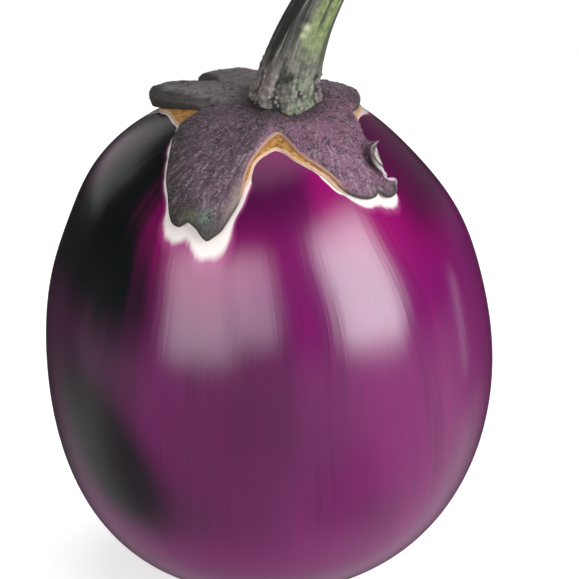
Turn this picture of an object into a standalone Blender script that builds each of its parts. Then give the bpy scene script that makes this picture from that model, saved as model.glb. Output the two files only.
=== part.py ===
"""A round purple eggplant, picked with its cap and a length of stem, standing on its blossom end.

Three grown pieces: the fruit, the leathery five-lobed cap that lies over its shoulder, and the ribbed
stem that stands on the cap. Metres, +Z up, the table at z = 0 and the front of the fruit towards -Y.

The fruit has a frame of its own, whose Z runs from its blossom end to its stem end. A place on its skin is
a polar angle from the stem end and an azimuth round it, 0 to the right and 270 degrees to the front.
"""

import math

import bmesh
import bpy
from mathutils import Euler, Vector
from mathutils.geometry import delaunay_2d_cdt
from mathutils.kdtree import KDTree

# The fruit
EQUATOR_RADIUS = 0.056
HALF_HEIGHT = 0.0669
EGG_TAPER = 0.080
SHOULDER_FULLNESS = 0.087
BLOSSOM_FULLNESS = 0.040
SIDE_LEAN = -0.0030
SIDE_BOW = -0.0055
SIDE_SWELL = 0.0012
SIDE_SWELL_POLAR = math.radians(63)
SIDE_SWELL_SPREAD = math.radians(12)
RIB_COUNT = 5
RIB_DEPTH = 0.005
RIB_AZIMUTH = math.radians(20)
STEM_END = Vector((0.0045, -0.0030))
STEM_END_SPREAD = math.radians(33)
STEM_HOLLOW = 0.0025
STEM_HOLLOW_SPREAD = math.radians(26)
BLOSSOM_END_Y = 0.0050
BLOSSOM_END_SPREAD = math.radians(32)
SCAR_DEPTH = 0.0016
SCAR_RADIUS = 0.0040
FRUIT_RINGS = 38
FRUIT_SIDES = 60
END_CROWDING = 0.55

# How it stands: leaning forward, with a small flat spot on the table
FORWARD_LEAN = math.radians(12)
CENTRE = Vector((-0.0002, -0.0015, 0.0650))

# The cap: its edge as azimuth and polar angle in degrees, lobe by lobe, with the notch after each
RIGHT_BACK_LOBE = [
    (8, 21.2), (15, 23.2), (21, 25), (28, 27.2), (35, 28.8), (39.5, 29.2), (44, 28.2), (51, 26.8), (58, 23.6),
]
BACK_NOTCH = [(64, 19.5)]
BACK_LOBE = [
    (71, 22), (78, 27), (86, 32), (94, 36.5), (101, 38.2), (107, 36.8), (113, 37), (120, 34),
    (126, 30), (130, 26.5),
]
LEFT_BACK_NOTCH = [(134, 23.5)]
LEFT_BACK_LOBE = [
    (137.5, 28), (140, 32.6), (142, 35.2), (145, 35.8), (149, 34.2), (154, 31.6), (160, 27.8),
    (166, 24), (171, 21),
]
LEFT_NOTCH = [(177, 19.3), (184, 20.8)]
FRONT_LEFT_LOBE = [
    (191, 23.5), (203, 26.5), (214, 29.6), (225, 34.6), (232, 38.4), (236.7, 42.2), (239.3, 43.8),
    (242, 44), (244, 42.6), (246, 43), (248.3, 43.8), (250.7, 45.2), (252.7, 46), (254.3, 45.3),
    (257.3, 43.3), (259.7, 39.6), (261.5, 36.5), (263, 33.2), (262.7, 29.7), (261.7, 26.2), (263.7, 23.4),
]
FRONT_NOTCH = [(271.5, 20.3)]
FRONT_RIGHT_LOBE = [
    (281, 21.8), (289, 25.5), (297, 28.8), (302.5, 31.8), (305.3, 35.3), (309, 37.7), (313, 39.6),
    (316.7, 40.6), (320, 40.7), (322.3, 39.4), (323.5, 41.3), (325.3, 42.5), (328, 43), (331.5, 42.5),
    (333.3, 40.8),
]
# The flap that curls, as its share of the way along the curl's line and its reach beyond it
CURLED_FLAP = [
    (0.84, 0.0034), (0.77, 0.0056), (0.66, 0.0082), (0.50, 0.0094), (0.36, 0.0088), (0.22, 0.0064),
    (0.11, 0.0036), (0.03, 0.0013),
]
RIGHT_FLANK = [(341.5, 25), (345, 23.6), (349, 22.2), (353.5, 21)]
RIGHT_NOTCH = [(360, 19.6)]
LOBE_AZIMUTHS = (36, 104, 146, 247, 318)
SEAM_AZIMUTHS = (64, 134, 176)
SHEET_SCALE = 0.055
CAP_GAP = 0.00035
CAP_THICKNESS = 0.0012
CAP_CROWN = 0.0013
CAP_CROWN_SPREAD = math.radians(15)
MIDRIB_HEIGHT = 0.0006
MIDRIB_WIDTH = 0.0034
SEAM_DEPTH = 0.0006
SEAM_WIDTH = 0.0012
SEAM_START = math.radians(10)
WRINKLE_HEIGHT = 0.0003
WRINKLES_ROUND = 37
EDGE_THICKNESS = 0.0006
EDGE_ROUNDING = 0.0024
NOTCH_POLAR = math.radians(19)
TIP_POLAR = math.radians(40)
TIP_LIFT = 0.0004
BACK_FLESH = 0.0024
BACK_LIFT = 0.0008
BACK_RISES = ((math.radians(138), math.radians(42), 1.0), (math.radians(35), math.radians(30), 0.65))
BACK_POLARS = (math.radians(8), math.radians(30))

# The cap's edge and grid steps, and the lines inside its edge that its rounding follows
EDGE_STEP = 0.0020
CURL_STEP = 0.0010
CAP_GRID = 0.0022
CAP_INSETS = (0.0004, 0.0011)
INSET_CLEAR = 0.9
EDGE_SAMPLES = 4
SAME_PLACE = 1e-7

# The curl: beyond the line between these two places, given as azimuth and polar angle, the right edge
# of the front right lobe rolls up and back over the lobe
CURL_START = (math.radians(337), math.radians(26.2))
CURL_END = (math.radians(324.5), math.radians(39.8))
CURL_RADIUS = 0.0021
CURL_MOST = math.radians(165)
CURL_EASES = ((0.0, 0.3), (0.94, 0.76))
CURL_LEAST = 1e-6
FLAP_HEIGHT = 0.0014
FLAP_THINNING = 0.0042
FLAP_EASES = ((0.0, 0.2), (1.0, 0.8))

# The stem, from its foot on the cap to its cut end: (x, y, z) in the fruit's frame, and radius
STEM_PATH = [
    (0.0, 0.0, 0.0030), (0.0006, 0.0002, 0.0060), (0.0016, 0.0006, 0.0120), (0.0044, 0.0015, 0.0205),
    (0.0085, 0.0030, 0.0290), (0.0128, 0.0052, 0.0370), (0.0166, 0.0078, 0.0440),
]
STEM_RADII = [0.0088, 0.0079, 0.0071, 0.0060, 0.0053, 0.0052, 0.0057]
STEM_FOOT_RADIUS = 0.0090
STEM_FOOT_LIP = 0.0009
STEM_RIBS = 5
STEM_RIB_DEPTH = 0.055
STEM_TWIST = math.radians(35)
STEM_SIDES = 30
STEM_RINGS = 20
SHAFT_START = 2
CUT_BEVEL = 0.0006
FOOT_SHARES = (0.35, 0.7, 1.0)


def smooth(low, high, value):
    """0 on the side of low, 1 on the side of high, and a smooth step between."""
    share = min(max((value - low) / (high - low), 0.0), 1.0)
    return share * share * (3 - 2 * share)


def bell(value, spread):
    """1 at zero, falling away on both sides."""
    return math.exp(-((value / spread) ** 2))


def angle_between(azimuth, other):
    """How far one azimuth is from another, between -pi and pi."""
    return (azimuth - other + math.pi) % math.tau - math.pi


def skin(polar, azimuth):
    """A point of the fruit's skin, in the fruit's frame."""
    along = math.cos(polar)
    fullness = 1 - EGG_TAPER * along + SHOULDER_FULLNESS * along**2 - BLOSSOM_FULLNESS * along**3
    rib = 1 + RIB_DEPTH * math.cos(RIB_COUNT * (azimuth - RIB_AZIMUTH)) * math.sin(polar)
    radius = EQUATOR_RADIUS * math.sin(polar) * fullness * rib
    at_stem = bell(polar, STEM_END_SPREAD)
    at_blossom = bell(math.pi - polar, BLOSSOM_END_SPREAD)
    middle_x = SIDE_LEAN * along + SIDE_BOW * along**2
    middle_x += SIDE_SWELL * bell(polar - SIDE_SWELL_POLAR, SIDE_SWELL_SPREAD)
    middle_x += (STEM_END.x - SIDE_LEAN - SIDE_BOW) * at_stem
    middle_y = STEM_END.y * at_stem + BLOSSOM_END_Y * at_blossom
    height = HALF_HEIGHT * along
    height -= STEM_HOLLOW * bell(polar, STEM_HOLLOW_SPREAD)
    height += SCAR_DEPTH * bell((math.pi - polar) * HALF_HEIGHT, SCAR_RADIUS)
    return Vector((middle_x + radius * math.cos(azimuth), middle_y + radius * math.sin(azimuth), height))


def above_skin(polar, azimuth, height):
    """A point at this height over the skin, measured square to it."""
    step = 1e-3
    here = skin(polar, azimuth)
    down = skin(polar + step, azimuth) - skin(polar - step, azimuth)
    if polar < step:
        return here + Vector((0, 0, height))
    across = skin(polar, azimuth + step) - skin(polar, azimuth - step)
    return here + down.cross(across).normalized() * height


def between(before, start, end, after, share):
    """A point at this share of the smooth curve from start to end, by Catmull and Rom's rule."""
    bent = 2 * before - 5 * start + 4 * end - after
    twisted = 3 * start - before - 3 * end + after
    return 0.5 * (2 * start + (end - before) * share + bent * share**2 + twisted * share**3)


def smooth_loop(points, spacing):
    """A closed smooth curve through flat points, with spacing(point) from one of its points to the next."""
    curve = []
    for i in range(len(points)):
        before, start, end, after = (points[(i + k) % len(points)] for k in (-1, 0, 1, 2))
        steps = math.ceil((end - start).length / spacing((start + end) / 2))
        curve += [between(before, start, end, after, step / steps) for step in range(steps)]
    return curve


def on_sheet(azimuth, polar):
    """The flat place of a point of the cap, with the cap laid out round the stem."""
    return Vector((math.cos(azimuth), math.sin(azimuth))) * (polar * SHEET_SCALE)


def off_sheet(flat):
    """The polar angle and azimuth of a flat place."""
    return flat.length / SHEET_SCALE, math.atan2(flat.y, flat.x)


def curl_line():
    """The start of the curl's line on the sheet, the way along it and the way outwards from it."""
    start = on_sheet(*CURL_START)
    along = on_sheet(*CURL_END) - start
    return start, along, Vector((-along.y, along.x)).normalized()


def beyond_curl(flat):
    """How far along the curl's line a flat place is, as a share, and how far beyond it."""
    start, along, outwards = curl_line()
    return (flat - start).dot(along) / along.length_squared, (flat - start).dot(outwards)


def near_curl(flat):
    """Whether a flat place is on the flap or just inside the curl's line."""
    share, reach = beyond_curl(flat)
    return 0 < share < 1 and reach > -CURL_RADIUS


def cap_edge():
    """The cap's outline, laid out flat."""
    start, along, outwards = curl_line()
    before = RIGHT_BACK_LOBE + BACK_NOTCH + BACK_LOBE + LEFT_BACK_NOTCH + LEFT_BACK_LOBE + LEFT_NOTCH
    before += FRONT_LEFT_LOBE + FRONT_NOTCH + FRONT_RIGHT_LOBE
    corners = [on_sheet(math.radians(azimuth), math.radians(polar)) for azimuth, polar in before]
    corners += [start + along * share + outwards * reach for share, reach in CURLED_FLAP]
    after = RIGHT_FLANK + RIGHT_NOTCH
    corners += [on_sheet(math.radians(azimuth), math.radians(polar)) for azimuth, polar in after]
    return smooth_loop(corners, lambda place: CURL_STEP if near_curl(place) else EDGE_STEP)


def at_back(polar, azimuth):
    """Up to 1 round the back of the cap, where it is thick and stands proud, and 0 at the front."""
    rise = sum(most * bell(angle_between(azimuth, middle), spread) for middle, spread, most in BACK_RISES)
    return rise * smooth(*BACK_POLARS, polar)


def cap_lift(polar, azimuth):
    """How far the cap stands off the skin."""
    outwards = smooth(NOTCH_POLAR, TIP_POLAR, polar)
    return outwards * (TIP_LIFT + BACK_LIFT * at_back(polar, azimuth))


def cap_thickness(polar, azimuth):
    """The cap's thickness, with a crown round the stem, a rib along each lobe, seams and wrinkles."""
    thickness = CAP_THICKNESS + CAP_CROWN * bell(polar, CAP_CROWN_SPREAD)
    thickness += BACK_FLESH * at_back(polar, azimuth)
    across = math.sin(polar) * EQUATOR_RADIUS
    for lobe in LOBE_AZIMUTHS:
        aside = angle_between(azimuth, math.radians(lobe)) * across
        thickness += MIDRIB_HEIGHT * bell(aside, MIDRIB_WIDTH) * smooth(0, NOTCH_POLAR, polar)
    for seam in SEAM_AZIMUTHS:
        aside = angle_between(azimuth, math.radians(seam)) * across
        thickness -= SEAM_DEPTH * bell(aside, SEAM_WIDTH) * smooth(SEAM_START, NOTCH_POLAR, polar)
    wrinkles = WRINKLE_HEIGHT * math.sin(WRINKLES_ROUND * azimuth)
    return thickness + wrinkles * smooth(NOTCH_POLAR / 2, TIP_POLAR, polar)


def curled(flat, height):
    """A point of the flat cap and its height, after the right edge of the front right lobe has rolled up."""
    start, along, outwards = curl_line()
    share, reach = beyond_curl(flat)
    if reach <= 0 or not 0 < share < 1:
        return flat, height
    eased = smooth(*CURL_EASES[0], share) * smooth(*CURL_EASES[1], share)
    bend = max(eased, CURL_LEAST) / CURL_RADIUS
    turn = min(reach * bend, CURL_MOST)
    rest = reach - turn / bend
    forward = (1 / bend - height) * math.sin(turn) + rest * math.cos(turn)
    up = 1 / bend - (1 / bend - height) * math.cos(turn) + rest * math.sin(turn)
    return flat + outwards * (forward - reach), up


def cap_point(flat, height):
    """A point of the cap in the fruit's frame, from its flat place and its height over the skin."""
    flat, height = curled(flat, height)
    polar, azimuth = off_sheet(flat)
    return above_skin(polar, azimuth, height)


def cap_under(flat):
    polar, azimuth = off_sheet(flat)
    return cap_point(flat, CAP_GAP + cap_lift(polar, azimuth))


def cap_top(flat, from_edge=1.0):
    """A point of the cap's upper face, which rounds off towards the edge."""
    polar, azimuth = off_sheet(flat)
    inwards = min(from_edge / EDGE_ROUNDING, 1)
    thickness = cap_thickness(polar, azimuth) - EDGE_THICKNESS
    thickness = EDGE_THICKNESS + thickness * math.sqrt(1 - (1 - inwards) ** 2)
    height = CAP_GAP + cap_lift(polar, azimuth) + thickness
    share, reach = beyond_curl(flat)
    thin = smooth(-FLAP_THINNING, 0, reach) * smooth(*FLAP_EASES[0], share) * smooth(*FLAP_EASES[1], share)
    height += (min(height, FLAP_HEIGHT) - height) * thin
    return cap_point(flat, height)


def lofted(name, rings, first, last, material):
    """A closed solid through the rings, drawn to a point at each end."""
    shape = bmesh.new()
    loops = [[shape.verts.new(point) for point in ring] for ring in rings]
    for before, after in zip(loops, loops[1:]):
        for i in range(len(before)):
            j = (i + 1) % len(before)
            shape.faces.new((before[i], before[j], after[j], after[i]))
    for end, loop in ((first, loops[0]), (last, loops[-1])):
        tip = shape.verts.new(end)
        for i in range(len(loop)):
            shape.faces.new((loop[i - 1], loop[i], tip))
    return finished(name, shape, material)


def finished(name, shape, material):
    """The object made from this closed shape."""
    bmesh.ops.recalc_face_normals(shape, faces=shape.faces)
    mesh = bpy.data.meshes.new(name)
    shape.to_mesh(mesh)
    shape.free()
    mesh.shade_smooth()
    mesh.set_sharp_from_angle(angle=math.radians(40))
    mesh.materials.append(material)
    piece = bpy.data.objects.new(name, mesh)
    bpy.context.scene.collection.objects.link(piece)
    return piece


def plain_material(name, colour, roughness):
    material = bpy.data.materials.new(name)
    material.use_nodes = True
    surface = material.node_tree.nodes["Principled BSDF"]
    surface.inputs["Base Color"].default_value = (*colour, 1)
    surface.inputs["Roughness"].default_value = roughness
    surface.inputs["Metallic"].default_value = 0
    return material


def make_fruit(to_table):
    """The fruit, with the flat spot that it stands on cut at the table's height."""
    rings = []
    for i in range(1, FRUIT_RINGS):
        share = i / FRUIT_RINGS
        polar = math.pi * (share - END_CROWDING * math.sin(math.tau * share) / math.tau)
        rings.append([skin(polar, math.tau * k / FRUIT_SIDES) for k in range(FRUIT_SIDES)])
    fruit = lofted(
        "fruit", rings, skin(0, 0), skin(math.pi, 0), plain_material("skin", (0.12, 0.014, 0.09), 0.22)
    )
    shape = bmesh.new()
    shape.from_mesh(fruit.data)
    shape.transform(to_table)
    cut = bmesh.ops.bisect_plane(
        shape, geom=[*shape.verts, *shape.edges, *shape.faces], dist=SAME_PLACE,
        plane_co=(0, 0, 0), plane_no=(0, 0, -1), clear_outer=True,
    )
    rim = [piece for piece in cut["geom_cut"] if isinstance(piece, bmesh.types.BMEdge)]
    bmesh.ops.contextual_create(shape, geom=rim)
    bmesh.ops.recalc_face_normals(shape, faces=shape.faces)
    shape.transform(to_table.inverted())
    shape.to_mesh(fruit.data)
    shape.free()
    return fruit


def from_edge(edge):
    """A function that gives the distance of a flat place from the cap's edge, and 0 for a place outside."""
    count = len(edge)
    tree = KDTree(count * EDGE_SAMPLES)
    for i, start in enumerate(edge):
        for sample in range(EDGE_SAMPLES):
            place = start.lerp(edge[(i + 1) % count], sample / EDGE_SAMPLES)
            tree.insert(place.to_3d(), i)
    tree.balance()

    def distance(place):
        nearest, i, away = tree.find(place.to_3d())
        way = edge[(i + 1) % count] - edge[i]
        return away if way.cross(place - nearest.xy) > 0 else 0.0

    return distance


def grid_places(step, size):
    """The flat places of a triangular grid over a disc of this size."""
    rows = math.ceil(size / step)
    row_height = step * math.sqrt(3) / 2
    for row in range(-rows, rows + 1):
        for column in range(-rows, rows + 1):
            yield Vector(((column + row % 2 / 2) * step, row * row_height))


def cap_places(edge, distance):
    """Flat places inside the cap's edge: lines that follow it, and a grid, finer where the cap curls."""
    places = []
    for inset in CAP_INSETS:
        for i, place in enumerate(edge):
            way = edge[(i + 1) % len(edge)] - edge[i - 1]
            moved = place + Vector((-way.y, way.x)).normalized() * inset
            if distance(moved) > inset * INSET_CLEAR:
                places.append(moved)
    reach = max(place.length for place in edge)
    for step in (CAP_GRID, CURL_STEP):
        clear = CAP_INSETS[-1] + step / 2
        for place in grid_places(step, reach):
            if near_curl(place) == (step == CURL_STEP) and distance(place) > clear:
                places.append(place)
    return places


def make_cap():
    """The cap: its flat outline filled with triangles, laid on the skin as an upper and a lower face."""
    edge = cap_edge()
    distance = from_edge(edge)
    corners = edge + cap_places(edge, distance)
    outline = list(range(len(edge)))
    border = list(zip(outline, outline[1:] + outline[:1]))
    places, _, faces, *_ = delaunay_2d_cdt(corners, border, [outline], 1, SAME_PLACE)
    sides = {(face[i - 1], face[i]) for face in faces for i in range(3)}
    rim = [side for side in sides if side[::-1] not in sides]
    on_rim = {corner for side in rim for corner in side}
    shape = bmesh.new()
    top = []
    under = []
    for i, place in enumerate(places):
        top.append(shape.verts.new(cap_top(place, 0.0 if i in on_rim else distance(place))))
        under.append(shape.verts.new(cap_under(place)))
    for face in faces:
        shape.faces.new([top[i] for i in face])
        shape.faces.new([under[i] for i in reversed(face)])
    for i, j in sorted(rim):
        shape.faces.new((top[j], top[i], under[i], under[j]))
    return finished("calyx", shape, plain_material("calyx", (0.11, 0.075, 0.1), 0.65))


def along_path(points, share):
    """A point at this share of a smooth curve through the points."""
    last = len(points) - 1
    i = min(int(share * last), last - 1)
    start, end = points[i], points[i + 1]
    before = points[i - 1] if i else start * 2 - end
    after = points[i + 2] if i + 2 <= last else end * 2 - start
    return between(before, start, end, after, share * last - i)


def stem_ring(share, inset=0.0):
    """One ring of the stem at this share of its length, ribbed and slightly twisted."""
    points = [Vector((*place, radius)) for place, radius in zip(STEM_PATH, STEM_RADII)]
    step = 0.01
    here = along_path(points, share)
    ahead = along_path(points, min(share + step, 1)).xyz - along_path(points, max(share - step, 0)).xyz
    right = Vector((0, 1, 0)).cross(ahead).normalized()
    back = ahead.cross(right).normalized()
    base = skin(0, 0)
    ring = []
    for k in range(STEM_SIDES):
        turn = math.tau * k / STEM_SIDES
        rib = 1 + STEM_RIB_DEPTH * math.cos(STEM_RIBS * (turn - STEM_TWIST * share))
        reach = here.w * rib - inset
        ring.append(base + here.xyz + (right * math.cos(turn) + back * math.sin(turn)) * reach)
    return ring


def foot_ring(radius, height):
    """One ring of the stem's foot, this far above the cap's upper face."""
    turns = [math.tau * k / STEM_SIDES for k in range(STEM_SIDES)]
    return [cap_top(on_sheet(turn, radius / SHEET_SCALE)) + Vector((0, 0, height)) for turn in turns]


def make_stem():
    """The stem: a foot that lies on the cap, a ribbed shaft, and the cut end."""
    rings = [foot_ring(share * STEM_FOOT_RADIUS, CAP_GAP) for share in FOOT_SHARES]
    lip = foot_ring(STEM_FOOT_RADIUS, CAP_GAP + STEM_FOOT_LIP)
    shaft = [stem_ring(i / STEM_RINGS) for i in range(SHAFT_START, STEM_RINGS + 1)]
    flare = [low.lerp(high, 0.5) for low, high in zip(lip, shaft[0])]
    end_way = (Vector(STEM_PATH[-1]) - Vector(STEM_PATH[-2])).normalized()
    cut = [point + end_way * CUT_BEVEL for point in stem_ring(1.0, CUT_BEVEL)]
    rings += [lip, flare, *shaft, cut]
    bottom = cap_top(Vector((0, 0))) + Vector((0, 0, CAP_GAP))
    top = sum(cut, Vector()) / STEM_SIDES
    return lofted("stem", rings, bottom, top, plain_material("stem", (0.16, 0.19, 0.1), 0.6))


def main():
    for old in list(bpy.data.objects):
        bpy.data.objects.remove(old)
    stand = bpy.data.objects.new("eggplant", None)
    stand.rotation_euler = Euler((FORWARD_LEAN, 0, 0))
    stand.location = CENTRE
    bpy.context.scene.collection.objects.link(stand)
    bpy.context.view_layer.update()
    for piece in (make_fruit(stand.matrix_world), make_cap(), make_stem()):
        piece.parent = stand


main()
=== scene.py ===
"""A round purple eggplant with glossy skin, a felted cap and a corky stem, on a pale studio floor.

The fruit has a frame of its own, whose Z runs from its blossom end to its stem end. A place on its skin is
a polar angle from the stem end and an azimuth round it, 0 to the right and 270 degrees to the front.
"""

import math

import bmesh
import bpy
from mathutils import Euler, Matrix, Vector, noise
from mathutils.geometry import delaunay_2d_cdt
from mathutils.kdtree import KDTree

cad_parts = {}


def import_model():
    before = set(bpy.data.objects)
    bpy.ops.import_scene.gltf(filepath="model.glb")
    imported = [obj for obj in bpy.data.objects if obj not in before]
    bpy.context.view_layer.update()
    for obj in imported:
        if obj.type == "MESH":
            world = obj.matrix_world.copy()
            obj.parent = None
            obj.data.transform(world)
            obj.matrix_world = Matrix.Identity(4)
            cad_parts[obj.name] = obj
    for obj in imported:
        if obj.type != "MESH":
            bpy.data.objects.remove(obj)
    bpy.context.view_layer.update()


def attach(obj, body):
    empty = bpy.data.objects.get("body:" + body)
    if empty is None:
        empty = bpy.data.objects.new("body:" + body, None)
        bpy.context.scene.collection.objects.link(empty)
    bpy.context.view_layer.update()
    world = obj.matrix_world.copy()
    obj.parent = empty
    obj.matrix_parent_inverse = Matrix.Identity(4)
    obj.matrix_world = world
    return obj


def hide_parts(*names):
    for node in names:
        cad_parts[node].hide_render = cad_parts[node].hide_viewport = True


# The fruit
EQUATOR_RADIUS = 0.056
HALF_HEIGHT = 0.0669
EGG_TAPER = 0.080
SHOULDER_FULLNESS = 0.087
BLOSSOM_FULLNESS = 0.040
SIDE_LEAN = -0.0030
SIDE_BOW = -0.0055
SIDE_SWELL = 0.0012
SIDE_SWELL_POLAR = math.radians(63)
SIDE_SWELL_SPREAD = math.radians(12)
RIB_COUNT = 5
RIB_DEPTH = 0.005
RIB_AZIMUTH = math.radians(20)
STEM_END = Vector((0.0045, -0.0030))
STEM_END_SPREAD = math.radians(33)
STEM_HOLLOW = 0.0025
STEM_HOLLOW_SPREAD = math.radians(26)
BLOSSOM_END_Y = 0.0050
BLOSSOM_END_SPREAD = math.radians(32)
SCAR_DEPTH = 0.0016
SCAR_RADIUS = 0.0040
FRUIT_RINGS = 200
FRUIT_SIDES = 320
POLE_MERGE = 1e-5
SLOPE_STEP = 1e-3

# How it stands: leaning forward, with a small flat spot on the table
FORWARD_LEAN = math.radians(12)
CENTRE = Vector((-0.0002, -0.0015, 0.0650))
TO_TABLE = Matrix.LocRotScale(CENTRE, Euler((FORWARD_LEAN, 0, 0)), None)

# The cap: its edge as azimuth and polar angle in degrees, lobe by lobe, with the notch after each
RIGHT_BACK_LOBE = [
    (8, 21.2), (15, 23.2), (21, 25), (28, 27.2), (35, 28.8), (39.5, 29.2), (44, 28.2), (51, 26.8),
    (58, 23.6),
]
BACK_NOTCH = [(64, 19.5)]
BACK_LOBE = [
    (71, 22), (78, 27), (86, 32), (94, 36.5), (101, 38.2), (107, 36.8), (113, 37), (120, 34),
    (126, 30), (130, 26.5),
]
LEFT_BACK_NOTCH = [(134, 23.5)]
LEFT_BACK_LOBE = [
    (137.5, 28), (140, 32.6), (142, 35.2), (145, 35.8), (149, 34.2), (154, 31.6), (160, 27.8),
    (166, 24), (171, 21),
]
LEFT_NOTCH = [(177, 19.3), (184, 20.8)]
FRONT_LEFT_LOBE = [
    (191, 23.5), (203, 26.5), (214, 29.6), (225, 34.6), (232, 38.4), (236.7, 42.2), (239.3, 43.8),
    (242, 44), (244, 42.6), (246, 43), (248.3, 43.8), (250.7, 45.2), (252.7, 46), (254.3, 45.3),
    (257.3, 43.3), (259.7, 39.6), (261.3, 36.5), (261.6, 33.2), (260.4, 29.7), (259.6, 26.4), (259.8, 23.4),
    (261, 20.6), (262.6, 17.8),
]
FRONT_NOTCH = [(267.5, 15)]
FRONT_RIGHT_LOBE = [
    (274.7, 16.4), (280.5, 18.8), (286, 21.8), (292, 24.8), (299, 28.6), (303.6, 32), (306, 35.3),
    (309, 37.7), (313, 39.6), (316.7, 40.6), (320, 40.7), (322.3, 39.4), (323.5, 41.3), (325.3, 42.5),
    (328, 43), (331.5, 42.5), (333.3, 40.8),
]
# The flap that curls, as its share of the way along the curl's line and its reach beyond it
CURLED_FLAP = [
    (0.84, 0.0034), (0.77, 0.0056), (0.66, 0.0082), (0.50, 0.0094), (0.36, 0.0088), (0.22, 0.0064),
    (0.11, 0.0036), (0.03, 0.0013),
]
RIGHT_FLANK = [(341.5, 25), (345, 23.6), (349, 22.2), (353.5, 21)]
RIGHT_NOTCH = [(360, 19.6)]
LOBE_AZIMUTHS = (36, 104, 146, 247, 318)
SEAM_AZIMUTHS = (64, 134, 176)
SHEET_SCALE = 0.055
CAP_GAP = 0.00035
CAP_THICKNESS = 0.0012
CAP_CROWN = 0.0013
CAP_CROWN_SPREAD = math.radians(15)
MIDRIB_HEIGHT = 0.0006
MIDRIB_WIDTH = 0.0034
SEAM_DEPTH = 0.0006
SEAM_WIDTH = 0.0012
SEAM_START = math.radians(10)
EDGE_THICKNESS = 0.0006
EDGE_ROUNDING = 0.0024
NOTCH_POLAR = math.radians(19)
TIP_POLAR = math.radians(40)
TIP_LIFT = 0.0004
BACK_FLESH = 0.0024
BACK_LIFT = 0.0008
BACK_RISES = ((math.radians(138), math.radians(42), 1.0), (math.radians(35), math.radians(30), 0.4))
BACK_POLARS = (math.radians(8), math.radians(30))

# The cap's edge and grid steps, and the lines inside its edge that its rounding follows
EDGE_STEP = 0.0007
CURL_STEP = 0.0005
CAP_GRID = 0.00055
CAP_INSETS = (0.00015, 0.0004, 0.0008)
INSET_CLEAR = 0.9
EDGE_SAMPLES = 4
SAME_PLACE = 1e-7

# The curl: beyond the line between these two places, given as azimuth and polar angle, the right edge
# of the front right lobe rolls up and back over the lobe
CURL_START = (math.radians(337), math.radians(26.2))
CURL_END = (math.radians(324.5), math.radians(39.8))
CURL_RADIUS = 0.0021
CURL_MOST = math.radians(165)
CURL_EASES = ((0.0, 0.3), (0.94, 0.76))
CURL_LEAST = 1e-6
CURL_FOOT = 0.0012
FLAP_HEIGHT = 0.0014
FLAP_THINNING = 0.0042
FLAP_EASES = ((0.0, 0.2), (1.0, 0.8))

# The corky webs that show between the lobes: their outlines, from their lower edge back under the cap
WEBS = [
    [
        (261.2, 34.2), (261.9, 31.8), (262.5, 29.4), (262, 27.3), (261.5, 25), (262.9, 22.9), (266.3, 21.2),
        (270.7, 20), (278.3, 21.3), (284, 23.6), (290, 25.9), (297, 29), (301.2, 31.9), (304.3, 35),
        (307.2, 36.5), (307.5, 34.5), (304.5, 31), (301, 29), (292, 22), (284, 18.5), (276, 13.5),
        (267, 11.5), (259, 14), (257, 20), (257.5, 27),
    ],
    [
        (151, 32.5), (158, 30), (165, 27.3), (173, 25.8), (180, 25), (188, 24.2), (193, 24.5), (191, 20.5),
        (184, 18), (177, 17), (170, 19), (163, 23.5), (156, 28),
    ],
    [
        (346, 24.6), (350, 23.3), (356, 22.3), (3, 22.6), (10, 24.3), (17, 26), (23, 27.5), (27, 28.3),
        (24, 25), (16, 21.5), (8, 19), (0, 17.5), (353, 18.5), (348, 21),
    ],
    [
        (54, 26.6), (60, 23.5), (64, 22.3), (68, 23.2), (73, 25.2), (72, 21), (68, 18), (64, 16.5), (59, 19),
        (55, 23),
    ],
    [(128, 30.6), (132, 27.2), (134.5, 26.8), (138, 30.6), (138, 27), (134.5, 21), (131, 22), (128, 26)],
]
WEB_THICKNESS = 0.0006
WEB_ROUNDING = 0.0005
WEB_RELIEF = 0.00025
WEB_LUMPS = 0.0012
WEB_SUNK = 0.0002

# The cap's wrinkles: long ones that run down the lobes, and a fine pebbling
FURROW_HEIGHT = 0.00028
FURROWS = 24
FURROW_LENGTHS = 5
PUCKER_HEIGHT = 0.00045
PUCKER_SIZE = 0.0075
PEBBLE_HEIGHT = 0.00016
PEBBLE_SIZE = 0.0011

# The felt hairs on the cap: how many, how big, and how they lean, from least to most along x, y and z
HAIRS_PER_SQUARE_METRE = 2.4e6
SHORTEST_HAIR = 0.0003
LONGEST_HAIR = 0.0007
HAIR_RADIUS = 0.00006
HAIR_SIDES = 3
HAIR_MARGIN = 0.0002
HAIR_LEANS = ((-0.7, -0.7, -0.9), (0.7, 0.7, 0.1))
HAIR_UPRIGHT = 0.7
HAIR_SEED = 7

# The stem: its path's places from the skin's stem end, in the fruit's frame, the radius at each, and its
# ribs, grooves and foot lumps. A share of it is 0 at the foot and 1 at the cut end.
STEM_PATH = [
    (-0.0009, 0.0, 0.0018), (-0.0002, 0.0002, 0.0060), (0.0012, 0.0006, 0.0120), (0.0043, 0.0015, 0.0205),
    (0.0085, 0.0030, 0.0290), (0.0128, 0.0052, 0.0370), (0.0166, 0.0078, 0.0440),
]
STEM_RADII = [0.0083, 0.0074, 0.0069, 0.0060, 0.0053, 0.0052, 0.0057]
STEM_RIBS = 5
STEM_RIB_DEPTH = 0.055
STEM_TWIST = math.radians(35)
GROOVE_DEPTH = 0.10
GROOVE_SCALES = (3.6, 3.6, 1.6)
GROOVE_SHADES = (0.36, 0.56)
FOOT_LUMP_SCALES = (2.3, 2.3, 13.0)
FOOT_LUMP_HEIGHT = 0.5
FOOT_LUMP_MIDDLE = 0.45
FOOT_TOP = 0.34
STEM_STEPS = 60
STEM_RINGS = 220
STEM_SIDES = 180
STEM_CLOSING = 0.1
STEM_MERGE = 1e-6

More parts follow.
